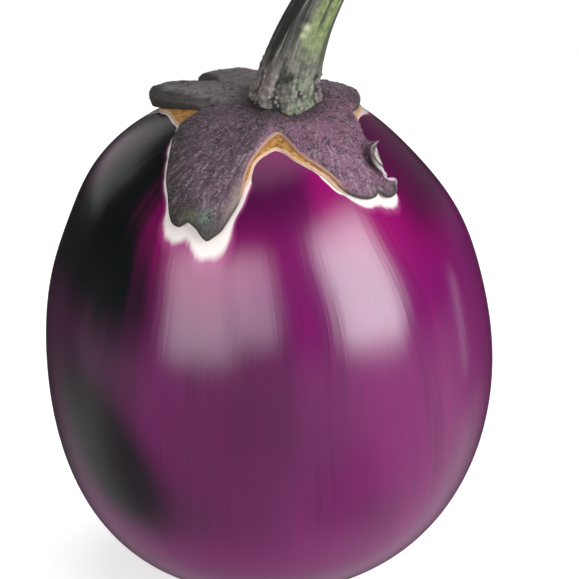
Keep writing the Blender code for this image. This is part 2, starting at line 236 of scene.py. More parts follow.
# The warts on the stem's foot
WARTS_PER_SQUARE_METRE = 2.6e5
SMALLEST_WART = 0.0003
LARGEST_WART = 0.0007
WART_FLATNESS = 0.40
WART_SHARES = (0.02, 0.20)
WART_SEED = 3

# The pale band of skin along the cap's edge: each lobe's azimuth, the polar angle of its tip, and the band's
# width there and on the lobe's flanks. By the front web and behind the curl there is next to none.
PALE_LOBES = [
    (36, 29, 0.0028, 0.0004), (104, 38, 0.0032, 0.0004), (146, 35.5, 0.0032, 0.0004),
    (247, 45.5, 0.0043, 0.0011), (320, 42.5, 0.0025, 0.0005),
]
PALE_LINE = 0.0006
PALE_NONE = 0.0001
FRONT_WEB_AZIMUTH = math.radians(281)
FRONT_WEB_SPREAD = math.radians(22)
FRONT_WEB_POLAR = math.radians(30)
CURL_AZIMUTH = math.radians(338)
CURL_SPREAD = math.radians(6)
PALE_FLANK = math.radians(5)
PALE_TIP = math.radians(0.5)
PALE_BLEND = 9

# The skin's streaks, as scales across and along the fruit, and how far they stand up
STREAK_SCALES = (16.0, 16.0, 1.2)
FINE_STREAK_SCALES = (75.0, 75.0, 3.0)
BROAD_PATCH_SCALES = (2.2, 2.2, 1.1)
STREAK_RELIEF = 0.00009
FINE_STREAK_RELIEF = 0.00002
RAGGEDNESS = 0.22

# The skin's colours, and the azimuths and polar angles of its zones. A pair is where a zone starts and where
# it is full, and cosines tell how far round the fruit that is from the zone's azimuth.
MAGENTA = (0.142, 0.0018, 0.066, 1)
PURPLE = (0.092, 0.0026, 0.062, 1)
PURPLE_BRIGHT = (0.088, 0.0028, 0.058, 1)
PURPLE_DULL = (0.052, 0.0024, 0.037, 1)
PURPLE_DEEP = (0.028, 0.0018, 0.019, 1)
NEAR_BLACK = (0.0034, 0.0044, 0.0050, 1)
PURPLE_GREY = (0.038, 0.0050, 0.027, 1)
PINK = (0.23, 0.04, 0.136, 1)
CREAM = (0.52, 0.48, 0.46, 1)
SCAR_TAN = (0.07, 0.045, 0.025, 1)
SKIN_IOR = 1.5
# The nearly black left side is partly the skin's own dark and partly painted shade
DARK_SIDE_AZIMUTH = math.radians(183)
DARK_SIDE_COSINES = (0.46, 0.74)
DARK_SHOULDER_POLARS = (math.radians(60), math.radians(42))
DARK_SHOULDER_SHIFT = 0.09
LEFT_TINT_POLARS = (math.radians(64), math.radians(80))
LOW_PURPLE_POLARS = (math.radians(106), math.radians(124))
# The dark patch low at the left is a painted reflection of the fruit's shadow on the floor
LOW_DARK_AZIMUTH = math.radians(225)
LOW_DARK_POLAR = math.radians(99)
LOW_DARK_SLANT = math.radians(38)
LOW_DARK_SIZES = (0.46, 0.24)
LOW_DARK_COSINES = (0.0, 0.3)
# The brighter purple of the right side is painted light
PURPLE_SIDE_AZIMUTH = math.radians(325)
PURPLE_SIDE_COSINES = (0.55, 0.93)
PURPLE_SIDE_UPPER_POLARS = (0.75, 1.2)
PURPLE_SIDE_LOWER_POLARS = (2.0, 1.6)
# Painted shade on the rear shoulder
REAR_SHADE_AZIMUTH = math.radians(5)
REAR_SHADE_COSINES = (0.72, 0.93)
REAR_SHADE_POLARS = (math.radians(62), math.radians(48))

# Patches of the skin: azimuth, cosines, polar angle, and the spread over which they fade up and down
UPPER_TINT = (math.radians(168), (0.90, 0.99), math.radians(42), 0.15)
# Painted shade under the front notch, and painted dark reflections down the front in a narrow band and a
# broad patch
NOTCH_SHADE = (math.radians(272), (0.90, 0.985), math.radians(34), 0.2)
FRONT_DARK_REFLECTION = (math.radians(268.5), (0.975, 0.998), math.radians(79), 0.34)
FRONT_SHADE = (math.radians(270), (0.86, 0.99), math.radians(88), 0.4)

# The blossom scar, and how far the magenta glow reaches from the cap
SCAR_POLARS = (math.radians(174.5), math.radians(176.5))
GLOW_FROM_CAP = (0.024, 0.004)
GLOW_RAGGEDNESS = 0.008

# The cap's and the webs' patterns, as scales per metre, or round and along the cap
BLOTCH_SCALE = 380.0
MOTTLE_SCALE = 1400.0
FIBRE_SCALE = 38.0
FIBRE_LENGTHS = 0.35
FIBRE_RELIEF = 0.0004
MOTTLE_RELIEF = 0.0005
HAIR_SHADE_SCALE = 700.0
WEB_LUMP_SCALE = 900.0
WEB_LUMP_RELIEF = 0.0006

# The cap's and the webs' colours, and where the cap's zones lie: on which azimuth, how far inside its edge,
# between which polar angles, or round a place given as azimuth and polar angle in degrees and a size
FELT_DARK = (0.022, 0.013, 0.020, 1)
FELT_PURPLE = (0.062, 0.036, 0.055, 1)
FELT_PALE = (0.190, 0.150, 0.170, 1)
FELT_PLUM = (0.135, 0.052, 0.094, 1)
FELT_GREY = (0.134, 0.124, 0.126, 1)
FELT_BLACK = (0.010, 0.008, 0.007, 1)
FELT_GREEN = (0.050, 0.100, 0.070, 1)
FELT_OLIVE = (0.070, 0.080, 0.035, 1)
FELT_CREAM = (0.140, 0.110, 0.090, 1)
HAIR_PURPLE = (0.060, 0.036, 0.052, 1)
HAIR_PALE = (0.140, 0.112, 0.124, 1)
RIM_PEACH = (0.300, 0.170, 0.100, 1)
FLAP_GREEN = (0.150, 0.180, 0.120, 1)
FLAP_WHITE = (0.360, 0.350, 0.320, 1)
# The curled flap's lilac rim is a painted highlight, and the dark line in its fold painted shade
FLAP_HIGHLIGHT_LILAC = (0.330, 0.270, 0.310, 1)
FLAP_SHADE_LINE = 0.0011
FLAP_SHADE_WIDTH = 0.00032
FLAP_STREAK = 0.0021
FLAP_STREAK_WIDTH = 0.0005
FLAP_INSIDE = (0.0036, 0.0050)
FLAP_HIGHLIGHT_RIM = (0.0006, 0.0004)
FLAP_MIDDLE = (331, 34.5, 0.0070)
WEB_BROWN = (0.120, 0.048, 0.010, 1)
WEB_ORANGE = (0.260, 0.120, 0.018, 1)
WEB_OCHRE = (0.320, 0.190, 0.070, 1)
WEB_CREAM = (0.350, 0.235, 0.165, 1)
FRONT_RIGHT = math.radians(318)
STRAIGHT_BACK = math.radians(112)
FRONT_LEFT_EDGE = math.radians(222)
NOTCH_MIDDLE = math.radians(283)
# Painted shade round the stem's foot
FOOT_SHADE_POLARS = (math.radians(14.5), math.radians(8.5))
TIP_POLARS = (math.radians(37), math.radians(42))
PEACH_POLARS = (math.radians(38), math.radians(33))
BACK_EDGE = (0.0040, 0.0016)
LEFT_EDGE = (0.0075, 0.0015)
TIP_EDGE = (0.004, 0.001)
CREAM_EDGE = (0.0034, 0.0010)
CAP_RIM = (0.0006, 0.0002)
GREEN_TIP = (251, 41, 0.0021)
OLIVE_TIP = (245, 41.5, 0.0018)
DARK_CORNER = (17, 22, 0.0034)
CREAM_FLANK = (260, 36, 0.0052)
WEB_PALE_SIDE = (0.012, 0.020)
WEB_EDGE = (0.0006, 0.0003)

# The stem's colours and patterns, its zones as azimuths and shares of the way up, and its spots: azimuth,
# share, size and colour
BARK_BROWN = (0.040, 0.036, 0.030, 1)
BARK_GREY = (0.125, 0.120, 0.104, 1)
STEM_GREEN = (0.055, 0.078, 0.026, 1)
STEM_YELLOW = (0.125, 0.160, 0.062, 1)
STEM_SHADE_GREEN = (0.020, 0.028, 0.010, 1)
# Black painted shade, in the grooves, between the foot's bumps and on the left side
PAINTED_SHADE_BLACK = (0.006, 0.008, 0.006, 1)
FOOT_PINK = (0.105, 0.083, 0.084, 1)
FOOT_GREEN = (0.100, 0.125, 0.078, 1)
FOOT_PALE = (0.200, 0.180, 0.165, 1)
WART_PALE = (0.130, 0.128, 0.104, 1)
CUT_TAN = (0.200, 0.160, 0.085, 1)
CUT_PITH = (0.330, 0.330, 0.200, 1)
STEM_GREEN_SIDE = math.radians(305)
# The stem's dark left side and its dark back right are painted shade
STEM_DARK_SIDE = math.radians(190)
STEM_SHADED_SIDE = math.radians(12)
STEM_MOTTLE_SCALE = 620.0
STEM_STREAK_SCALES = (9.0, 9.0, 2.5)
STEM_STREAK_RELIEF = 0.0006
STEM_MOTTLE_RELIEF = 0.0005
STEM_GREEN_SHARES = (0.2, 0.45)
FOOT_SHARES = (0.30, 0.14)
CUT_SHARES = (1.0, 1.006)
CUT_RINGS = 120
WART_SHADE_SCALE = 900.0
WART_RELIEF = 0.0002
SPOT_REACH = 8.5
STEM_SPOTS = [
    (math.radians(257), 0.468, 0.20, (0.006, 0.005, 0.005, 1)),
    (math.radians(255), 0.405, 0.24, (0.006, 0.005, 0.005, 1)),
    (math.radians(268), 0.440, 0.17, (0.290, 0.310, 0.200, 1)),
    (math.radians(267), 0.398, 0.15, (0.250, 0.280, 0.150, 1)),
]

# The studio: each softbox's turn from the front, distance from the fruit, lowest and highest edge, width
# and glow
SOFTBOXES = [
    ("right softbox", math.radians(55), 0.80, (-0.14, 0.74), 0.84, 11.0),
    ("left softbox", math.radians(-32), 0.85, (-0.17, 0.60), 0.84, 5.2),
    ("front softbox", math.radians(-3), 0.95, (-0.10, 0.72), 0.46, 4.6),
    ("strip light", math.radians(118), 0.90, (-0.24, 0.20), 0.12, 1.0),
    ("back softbox", math.radians(-140), 0.80, (0.10, 0.70), 0.80, 0.6),
]
SOFTBOX_EDGE = 0.30
OVERHEAD_PLACE = Vector((0, 0.1, 1.0))
OVERHEAD_SIZE = 1.0
OVERHEAD_GLOW = 2.6

# The room that the skin mirrors between the softboxes: dim round the fruit, lighter above and below, with
# the dark of its own shadow on two sides. A pair is where a part of the room starts and where it is full, on
# the way that a reflection goes, from -1 to 1.
ROOM_DIM = 0.03
ROOM_BELOW = 0.5
ROOM_BELOW_RIGHT = 0.42
ROOM_ABOVE = 1.2
ROOM_BEHIND = 0.12
BELOW_UPWARDS = (0.05, -0.3)
BELOW_BACKWARDS = (0.97, 0.55)
BELOW_RIGHTWARDS = (-0.3, 0.7)
HORIZON_UPWARDS = (-0.5, -0.25)
HORIZON_BACKWARDS = (0.25, 0.55)
HORIZON_SHADE = 0.8
ABOVE_UPWARDS = (0.86, 0.99)
BEHIND_BACKWARDS = (0.4, 0.9)
BEHIND_LOWEST = (-0.10, 0.04)
BEHIND_HIGHEST = (0.8, 0.3)
ROOM_SHADOWS = [((-0.74, -0.06, -0.66), 0.36, 0.6), ((0.50, -0.42, -0.76), 0.36, 0.45)]
SHADOW_EDGES = (1.3, 0.3)
FLOOR_RADIUS = 0.6
FLOOR_SIDES = 96
FLOOR_COLOUR = (0.72, 0.72, 0.72, 1)
FLOOR_GLOW = 0.58

# The camera: where it stands, and the pixel that the middle of the fruit falls on
CAMERA_DISTANCE = 0.75
CAMERA_ELEVATION = math.radians(18)
PHOTO_SIZE = 579
PHOTO_CENTRE = (269.03, 333.2)
FOCAL_PIXELS = 2982.75
SENSOR = 36
CLIP_START = 0.05


class Field:
    """What a socket carries. Arithmetic on it adds the nodes that work it out."""

    def __init__(self, tree, socket):
        self.tree = tree
        self.socket = socket

    def maths(self, operation, *others):
        return self.tree.maths(operation, self, *others)

    def __add__(self, other):
        return self.tree.maths("ADD", self, other)

    def __sub__(self, other):
        return self.tree.maths("SUBTRACT", self, other)

    def __rsub__(self, other):
        return self.tree.maths("SUBTRACT", other, self)

    def __mul__(self, other):
        return self.tree.maths("MULTIPLY", self, other)

    def __truediv__(self, other):
        return self.tree.maths("DIVIDE", self, other)

    def __rtruediv__(self, other):
        return self.tree.maths("DIVIDE", other, self)

    def __neg__(self):
        return self.tree.maths("MULTIPLY", self, -1.0)

    __radd__ = __add__
    __rmul__ = __mul__


class Tree:
    """A node tree under construction, for a material or for geometry."""

    def __init__(self, tree):
        self.tree = tree
        tree.nodes.clear()

    def node(self, kind, settings=None, values=()):
        """A new node: its settings first, then the values or links of its sockets, by place or by name."""
        node = self.tree.nodes.new(kind)
        for name, value in (settings or {}).items():
            setattr(node, name, value)
        for place, value in values.items() if isinstance(values, dict) else enumerate(values):
            if isinstance(value, Field):
                self.tree.links.new(value.socket, node.inputs[place])
            else:
                node.inputs[place].default_value = value
        return node

    def add(self, kind, settings=None, values=(), output=0):
        return Field(self, self.node(kind, settings, values).outputs[output])

    def maths(self, operation, *values):
        return self.add("ShaderNodeMath", {"operation": operation}, values)

    def smooth(self, low, high, value):
        """0 on the side of low, 1 on the side of high, and a smooth step between."""
        return self.add(
            "ShaderNodeMapRange", {"interpolation_type": "SMOOTHSTEP"},
            {"Value": value, "From Min": low, "From Max": high},
        )

    def vector(self, x, y, z):
        return self.add("ShaderNodeCombineXYZ", None, (x, y, z))

    def parts(self, vector):
        """The x, y and z of a vector."""
        node = self.node("ShaderNodeSeparateXYZ", None, (vector,))
        return [Field(self, socket) for socket in node.outputs]

    def vectors(self, operation, *values):
        """A vector worked out from vectors."""
        return self.add("ShaderNodeVectorMath", {"operation": operation}, values)

    def stretched(self, vector, scales):
        return self.vectors("MULTIPLY", vector, scales)

    def scaled(self, vector, size):
        return self.add("ShaderNodeVectorMath", {"operation": "SCALE"}, {"Vector": vector, "Scale": size})

    def noise(self, vector, scale, detail=2.0, roughness=0.5):
        values = {"Vector": vector, "Scale": scale, "Detail": detail, "Roughness": roughness}
        return self.add("ShaderNodeTexNoise", None, values)

    def mixed(self, share, first, second):
        """The first colour where share is 0 and the second where it is 1."""
        return self.add("ShaderNodeMix", {"data_type": "RGBA"}, {0: share, 6: first, 7: second}, 2)

    def painted(self, colour, *coats):
        """A colour with coats over it in turn, each a share and a colour."""
        for share, coat in coats:
            colour = self.mixed(share, colour, coat)
        return colour


class Finish(Tree):
    """A material under construction."""

    def __init__(self, name):
        self.material = bpy.data.materials.new(name)
        self.material.use_nodes = True
        super().__init__(self.material.node_tree)

    def place(self):
        """The place in metres, in the frame of the table."""
        return self.add("ShaderNodeTexCoord", None, (), "Object")

    def facing(self, azimuth):
        """The cosine of how far round a place is from this azimuth, by the finish's turn_x and turn_y."""
        return self.turn_x * math.cos(azimuth) + self.turn_y * math.sin(azimuth)

    def attribute(self, name, output="Vector"):
        return self.add("ShaderNodeAttribute", {"attribute_name": name}, (), output)

    def bump(self, height, distance, strength, normal=None):
        values = {"Height": height, "Distance": distance, "Strength": strength}
        if normal:
            values["Normal"] = normal
        return self.add("ShaderNodeBump", None, values)

    def done(self, values):
        """The finished material, from what its surface's sockets get."""
        surface = self.add("ShaderNodeBsdfPrincipled", None, values)
        self.node("ShaderNodeOutputMaterial", None, {"Surface": surface})
        return self.material


class Grower(Tree):
    """A geometry tree under construction, with a named input for each size."""

    def __init__(self, name, sizes):
        group = bpy.data.node_groups.new(name, "GeometryNodeTree")
        super().__init__(group)
        kinds = {int: "NodeSocketInt", float: "NodeSocketFloat"}
        group.interface.new_socket("Geometry", in_out="INPUT", socket_type="NodeSocketGeometry")
        for label, size in sizes.items():
            group.interface.new_socket(label, in_out="INPUT", socket_type=kinds[type(size)])
        group.interface.new_socket("Geometry", in_out="OUTPUT", socket_type="NodeSocketGeometry")
        self.given = {s.name: Field(self, s) for s in self.node("NodeGroupInput").outputs}
        self.sizes = sizes

    def attribute(self, name, kind="FLOAT_VECTOR"):
        return self.add("GeometryNodeInputNamedAttribute", {"data_type": kind}, (name,))

    def random(self, least, most, seed):
        """A random number for each point."""
        return self.add("FunctionNodeRandomValue", {"data_type": "FLOAT"}, {2: least, 3: most, 8: seed}, 1)

    def wrapped_grid(self, lowest, highest):
        """A grid to roll up, and each corner's turn round it, as x and y, and its place along it."""
        sides = self.given["Sides"] + 1
        rings = self.given["Rings"] + 1
        sized = {"Size X": 1.0, "Size Y": 1.0, "Vertices X": sides, "Vertices Y": rings}
        grid = self.add("GeometryNodeMeshGrid", None, sized)
        x, y, _ = self.parts(self.add("GeometryNodeInputPosition"))
        turn = (x + 0.5) * math.tau
        along = (y + 0.5) * (highest - lowest) + lowest
        kept = {"Geometry": grid, "Name": "turn", "Value": self.vector(cosine(turn), sine(turn), along)}
        kind = {"data_type": "FLOAT_VECTOR", "domain": "POINT"}
        grid = self.add("GeometryNodeStoreNamedAttribute", kind, kept)
        return grid, *self.parts(self.attribute("turn"))

    def rounded(self, grid, place, distance):
        """The grid with its corners moved to their places and its seam and poles closed."""
        moved = self.add("GeometryNodeSetPosition", None, {"Geometry": grid, "Position": place})
        return self.add("GeometryNodeMergeByDistance", None, {"Geometry": moved, "Distance": distance})

    def scattered(self, chosen, density):
        """Points scattered over the chosen faces, the ways that these face, and the turns to match."""
        node = self.node("GeometryNodeDistributePointsOnFaces", {"distribute_method": "RANDOM"}, {
            "Mesh": self.given["Geometry"], "Selection": chosen.maths("GREATER_THAN", 0.5),
            "Density": density, "Seed": self.given["Seed"],
        })
        return [Field(self, node.outputs[name]) for name in ("Points", "Normal", "Rotation")]

    def planted(self, points, shape, turned, width, height):
        """A copy of a shape at each point."""
        return self.add("GeometryNodeInstanceOnPoints", None, {
            "Points": points, "Instance": shape, "Rotation": turned,
            "Scale": self.vector(width, width, height),
        })

    def softened(self, geometry):
        return self.add("GeometryNodeSetShadeSmooth", None, {"Geometry": geometry})

    def grown(self, geometry, material, name, base):
        """The piece that the tree makes of its base: one plain mesh of this material."""
        real = self.add("GeometryNodeRealizeInstances", None, (geometry,))
        dressed = self.add("GeometryNodeSetMaterial", None, {"Geometry": real, "Material": material})
        self.node("NodeGroupOutput", None, (dressed,))
        piece = added(name, base)
        modifier = piece.modifiers.new(name, "NODES")
        modifier.node_group = self.tree
        for item in self.tree.interface.items_tree:
            if item.in_out == "INPUT" and item.name in self.sizes:
                modifier[item.identifier] = self.sizes[item.name]
        layers = bpy.context.evaluated_depsgraph_get()
        mesh = bpy.data.meshes.new_from_object(
            piece.evaluated_get(layers), preserve_all_data_layers=True, depsgraph=layers
        )
        bpy.data.objects.remove(piece)
        mesh.name = name
        return added(name, mesh)


def added(name, data):
    """A new object in the scene, from its mesh, curve, light or lens."""
    piece = bpy.data.objects.new(name, data)
    bpy.context.scene.collection.objects.link(piece)
    return piece


def sine(angle):
    return angle.maths("SINE") if isinstance(angle, Field) else math.sin(angle)


def cosine(angle):
    return angle.maths("COSINE") if isinstance(angle, Field) else math.cos(angle)


def smooth(low, high, value):
    """0 on the side of low, 1 on the side of high, and a smooth step between."""
    share = min(max((value - low) / (high - low), 0.0), 1.0)
    return share * share * (3 - 2 * share)


def bell(value, spread):
    """1 at zero, falling away on both sides."""
    share = value / spread
    power = -(share * share)
    return power.maths("EXPONENT") if isinstance(power, Field) else math.exp(power)


def angle_between(azimuth, other):
    """How far one azimuth is from another, between -pi and pi."""
    return (azimuth - other + math.pi) % math.tau - math.pi


def skin_parts(polar, azimuth, radius=EQUATOR_RADIUS, half_height=HALF_HEIGHT, rib_depth=RIB_DEPTH):
    """The x, y and z of a place on the fruit's skin, from numbers or from fields."""
    along = cosine(polar)
    aside = sine(polar)
    bowed = along * along
    fullness = 1 - EGG_TAPER * along + SHOULDER_FULLNESS * bowed - BLOSSOM_FULLNESS * bowed * along
    rib = 1 + rib_depth * cosine(RIB_COUNT * (azimuth - RIB_AZIMUTH)) * aside
    reach = radius * aside * fullness * rib
    at_stem = bell(polar, STEM_END_SPREAD)
    at_blossom = bell(math.pi - polar, BLOSSOM_END_SPREAD)
    middle_x = SIDE_LEAN * along + SIDE_BOW * bowed
    middle_x += SIDE_SWELL * bell(polar - SIDE_SWELL_POLAR, SIDE_SWELL_SPREAD)
    middle_x += (STEM_END.x - SIDE_LEAN - SIDE_BOW) * at_stem
    middle_y = STEM_END.y * at_stem + BLOSSOM_END_Y * at_blossom
    height = half_height * along
    height -= STEM_HOLLOW * bell(polar, STEM_HOLLOW_SPREAD)
    height += SCAR_DEPTH * bell((math.pi - polar) * HALF_HEIGHT, SCAR_RADIUS)
    return middle_x + reach * cosine(azimuth), middle_y + reach * sine(azimuth), height


def skin(polar, azimuth):
    return Vector(skin_parts(polar, azimuth))


def above_skin(polar, azimuth, height):
    """A point at this height over the skin, measured square to it."""
    here = skin(polar, azimuth)
    if polar < SLOPE_STEP:
        return here + Vector((0, 0, height))
    down = skin(polar + SLOPE_STEP, azimuth) - skin(polar - SLOPE_STEP, azimuth)
    across = skin(polar, azimuth + SLOPE_STEP) - skin(polar, azimuth - SLOPE_STEP)
    return here + down.cross(across).normalized() * height


def between(before, start, end, after, share):
    """A point at this share of the smooth curve from start to end, by Catmull and Rom's rule."""
    bent = 2 * before - 5 * start + 4 * end - after
    twisted = 3 * start - before - 3 * end + after
    return 0.5 * (2 * start + (end - before) * share + bent * share**2 + twisted * share**3)


def smooth_loop(points, spacing):
    """A closed smooth curve through flat points, with spacing(point) from one of its points to the next."""
    curve = []
    for i in range(len(points)):
        before, start, end, after = (points[(i + k) % len(points)] for k in (-1, 0, 1, 2))
        steps = math.ceil((end - start).length / spacing((start + end) / 2))
        curve += [between(before, start, end, after, step / steps) for step in range(steps)]
    return curve


def on_sheet(azimuth, polar):
    """The flat place of a point of the cap, with the cap laid out round the stem."""
    return Vector((math.cos(azimuth), math.sin(azimuth))) * (polar * SHEET_SCALE)


def off_sheet(flat):
    """The polar angle and azimuth of a flat place."""
    return flat.length / SHEET_SCALE, math.atan2(flat.y, flat.x)


def laid_out(places):
    """Flat places from azimuths and polar angles in degrees."""
    return [on_sheet(math.radians(azimuth), math.radians(polar)) for azimuth, polar in places]


def curl_line():
    """The start of the curl's line on the sheet, the way along it and the way outwards from it."""
    start = on_sheet(*CURL_START)
    along = on_sheet(*CURL_END) - start
    return start, along, Vector((-along.y, along.x)).normalized()


def beyond_curl(flat):
    """How far along the curl's line a flat place is, as a share, and how far beyond it."""
    start, along, outwards = curl_line()
    return (flat - start).dot(along) / along.length_squared, (flat - start).dot(outwards)


def near_curl(flat):
    """Whether a flat place is on the flap or just inside the curl's line."""
    share, reach = beyond_curl(flat)
    return 0 < share < 1 and reach > -CURL_RADIUS


def cap_edge(flap=CURLED_FLAP):
    """The cap's outline, laid out flat."""
    start, along, outwards = curl_line()
    before = RIGHT_BACK_LOBE + BACK_NOTCH + BACK_LOBE + LEFT_BACK_NOTCH + LEFT_BACK_LOBE + LEFT_NOTCH
    before += FRONT_LEFT_LOBE + FRONT_NOTCH + FRONT_RIGHT_LOBE
    corners = laid_out(before)
    corners += [start + along * share + outwards * reach for share, reach in flap]
    corners += laid_out(RIGHT_FLANK + RIGHT_NOTCH)
    return smooth_loop(corners, lambda place: CURL_STEP if near_curl(place) else EDGE_STEP)


def at_back(polar, azimuth):
    """Up to 1 round the back of the cap, where it is thick and stands proud, and 0 at the front."""
    rise = sum(most * bell(angle_between(azimuth, middle), spread) for middle, spread, most in BACK_RISES)
    return rise * smooth(*BACK_POLARS, polar)


def cap_lift(polar, azimuth):
    """How far the cap stands off the skin."""
    outwards = smooth(NOTCH_POLAR, TIP_POLAR, polar)
    return outwards * (TIP_LIFT + BACK_LIFT * at_back(polar, azimuth))


def cap_relief(polar, azimuth):
    """The height of the cap's furrows, puckers and pebbles."""
    turn = Vector((math.cos(azimuth), math.sin(azimuth), 0))
    outwards = smooth(0, NOTCH_POLAR, polar)
    furrow = noise.noise(turn * FURROWS + Vector((0, 0, polar * FURROW_LENGTHS)))
    place = turn * (polar * SHEET_SCALE)
    pucker = noise.noise(place / PUCKER_SIZE)
    pebble = noise.fractal(place / PEBBLE_SIZE, 0.7, 2.0, 3)
    return FURROW_HEIGHT * furrow * outwards + PUCKER_HEIGHT * pucker + PEBBLE_HEIGHT * pebble


def cap_thickness(polar, azimuth):
    """The cap's thickness, with a crown round the stem, a rib along each lobe and seams."""
    thickness = CAP_THICKNESS + CAP_CROWN * bell(polar, CAP_CROWN_SPREAD)
    thickness += BACK_FLESH * at_back(polar, azimuth)
    across = math.sin(polar) * EQUATOR_RADIUS
    for lobe in LOBE_AZIMUTHS:
        aside = angle_between(azimuth, math.radians(lobe)) * across
        thickness += MIDRIB_HEIGHT * bell(aside, MIDRIB_WIDTH) * smooth(0, NOTCH_POLAR, polar)
    for seam in SEAM_AZIMUTHS:
        aside = angle_between(azimuth, math.radians(seam)) * across
        thickness -= SEAM_DEPTH * bell(aside, SEAM_WIDTH) * smooth(SEAM_START, NOTCH_POLAR, polar)
    return thickness + cap_relief(polar, azimuth)


def curled(flat, height):
    """A point of the flat cap and its height, after the right edge of the front right lobe has rolled up."""
    start, along, outwards = curl_line()
    share, reach = beyond_curl(flat)
    if reach <= 0 or not 0 < share < 1:
        return flat, height
    eased = smooth(*CURL_EASES[0], share) * smooth(*CURL_EASES[1], share)
    bend = max(eased, CURL_LEAST) / CURL_RADIUS
    turn = min(reach * bend, CURL_MOST)
    rest = reach - turn / bend
    forward = (1 / bend - height) * math.sin(turn) + rest * math.cos(turn)
    up = 1 / bend - (1 / bend - height) * math.cos(turn) + rest * math.sin(turn)
    return flat + outwards * (forward - reach), up


def cap_point(flat, height):
    """A point of the cap in the fruit's frame, from its flat place and its height over the skin."""
    flat, height = curled(flat, height)
    polar, azimuth = off_sheet(flat)
    return above_skin(polar, azimuth, height)


def cap_under(flat):
    polar, azimuth = off_sheet(flat)
    return cap_point(flat, CAP_GAP + cap_lift(polar, azimuth))


def cap_top(flat, from_edge=1.0):
    """A point of the cap's upper face, which rounds off towards the edge."""
    polar, azimuth = off_sheet(flat)
    inwards = min(from_edge / EDGE_ROUNDING, 1)
    thickness = cap_thickness(polar, azimuth) - EDGE_THICKNESS
    thickness = EDGE_THICKNESS + thickness * math.sqrt(1 - (1 - inwards) ** 2)
    height = CAP_GAP + cap_lift(polar, azimuth) + thickness
    share, reach = beyond_curl(flat)
    thin = smooth(-FLAP_THINNING, 0, reach) * smooth(*FLAP_EASES[0], share) * smooth(*FLAP_EASES[1], share)
    height += (min(height, FLAP_HEIGHT) - height) * thin
    return cap_point(flat, height)


def from_edge(edge):
    """A function that gives how far inside the edge a flat place is, and less than 0 for one outside."""
    count = len(edge)
    tree = KDTree(count * EDGE_SAMPLES)
    for i, start in enumerate(edge):
        for sample in range(EDGE_SAMPLES):
            place = start.lerp(edge[(i + 1) % count], sample / EDGE_SAMPLES)
            tree.insert(place.to_3d(), i * EDGE_SAMPLES + sample)
    tree.balance()

    def distance(place):
        nearest, found, away = tree.find(place.to_3d())
        i, sample = divmod(found, EDGE_SAMPLES)
        way = edge[(i + 1) % count] - (edge[i] if sample else edge[i - 1])
        return away if way.cross(place - nearest.xy) > 0 else -away

    return distance


def grid_places(step, size):
    """The flat places of a triangular grid over a disc of this size."""
    rows = math.ceil(size / step)
    row_height = step * math.sqrt(3) / 2
    for row in range(-rows, rows + 1):
        for column in range(-rows, rows + 1):
            yield Vector(((column + row % 2 / 2) * step, row * row_height))


def cap_places(edge, distance):
    """Flat places inside the cap's edge: lines that follow it, and a grid, finer where the cap curls."""
    places = []
    for inset in CAP_INSETS:
        for i, place in enumerate(edge):
            way = edge[(i + 1) % len(edge)] - edge[i - 1]
            moved = place + Vector((-way.y, way.x)).normalized() * inset
            if distance(moved) > inset * INSET_CLEAR:
                places.append(moved)
    reach = max(place.length for place in edge)
    for step in (CAP_GRID, CURL_STEP):
        clear = CAP_INSETS[-1] + step / 2
        for place in grid_places(step, reach):
            if near_curl(place) == (step == CURL_STEP) and distance(place) > clear:
                places.append(place)
    return places


def finished(name, shape, material):
    """The object made from this closed shape, moved from the fruit's frame to the table's."""
    bmesh.ops.recalc_face_normals(shape, faces=shape.faces)
    shape.transform(TO_TABLE)
    mesh = bpy.data.meshes.new(name)
    shape.to_mesh(mesh)
    shape.free()
    mesh.shade_smooth()
    mesh.materials.append(material)
    return added(name, mesh)


def lay(shape, edge, upper, under, marks):
    """Fills a flat outline with triangles and lays them on the skin as an upper and an under face."""
    distance = from_edge(edge)
    corners = edge + cap_places(edge, distance)
    outline = list(range(len(edge)))
    border = list(zip(outline, outline[1:] + outline[:1]))
    places, _, faces, *_ = delaunay_2d_cdt(corners, border, [outline], 1, SAME_PLACE)
    sides = {(face[i - 1], face[i]) for face in faces for i in range(3)}
    rim = [side for side in sides if side[::-1] not in sides]
    on_rim = {corner for side in rim for corner in side}
    layout, turned = marks
    top = []
    low = []
    for i, place in enumerate(places):
        inside = 0.0 if i in on_rim else max(distance(place), 0.0)
        top.append(shape.verts.new(upper(place, inside)))
        low.append(shape.verts.new(under(place)))
        top[-1][layout] = low[-1][layout] = (place.x, place.y, inside)
        low[-1][turned] = 1.0
        top[-1][turned] = 1.0 if i in on_rim else 0.0
    for face in faces:
        shape.faces.new([top[i] for i in face])
        shape.faces.new([low[i] for i in reversed(face)])
    for i, j in sorted(rim):
        shape.faces.new((top[j], top[i], low[i], low[j]))


def marked_shape():
    """An empty shape, with marks for each corner's place on the sheet and for its under face."""
    shape = bmesh.new()
    shape.verts.layers.float_vector.new("layout")
    shape.verts.layers.float.new("under_face")
    return shape, (shape.verts.layers.float_vector["layout"], shape.verts.layers.float["under_face"])


def make_cap(material):
    """The cap, laid on the skin, with the flap at its right rolled up."""
    shape, marks = marked_shape()
    lay(shape, cap_edge(), cap_top, cap_under, marks)
    return finished("calyx_felted", shape, material)


def web_top(flat, inside):
    """A point of a web's upper face, which is lumpy like cork."""
    rounded = math.sqrt(1 - (1 - min(inside / WEB_ROUNDING, 1)) ** 2)
    lumps = noise.fractal(flat.to_3d() / WEB_LUMPS, 0.8, 2.0, 3)
    polar, azimuth = off_sheet(flat)
    return above_skin(polar, azimuth, (WEB_THICKNESS + WEB_RELIEF * lumps) * rounded)


def web_under(flat):
    polar, azimuth = off_sheet(flat)
    return above_skin(polar, azimuth, -WEB_SUNK)


def web_edges():
    return [smooth_loop(laid_out(corners), lambda place: CURL_STEP) for corners in WEBS]


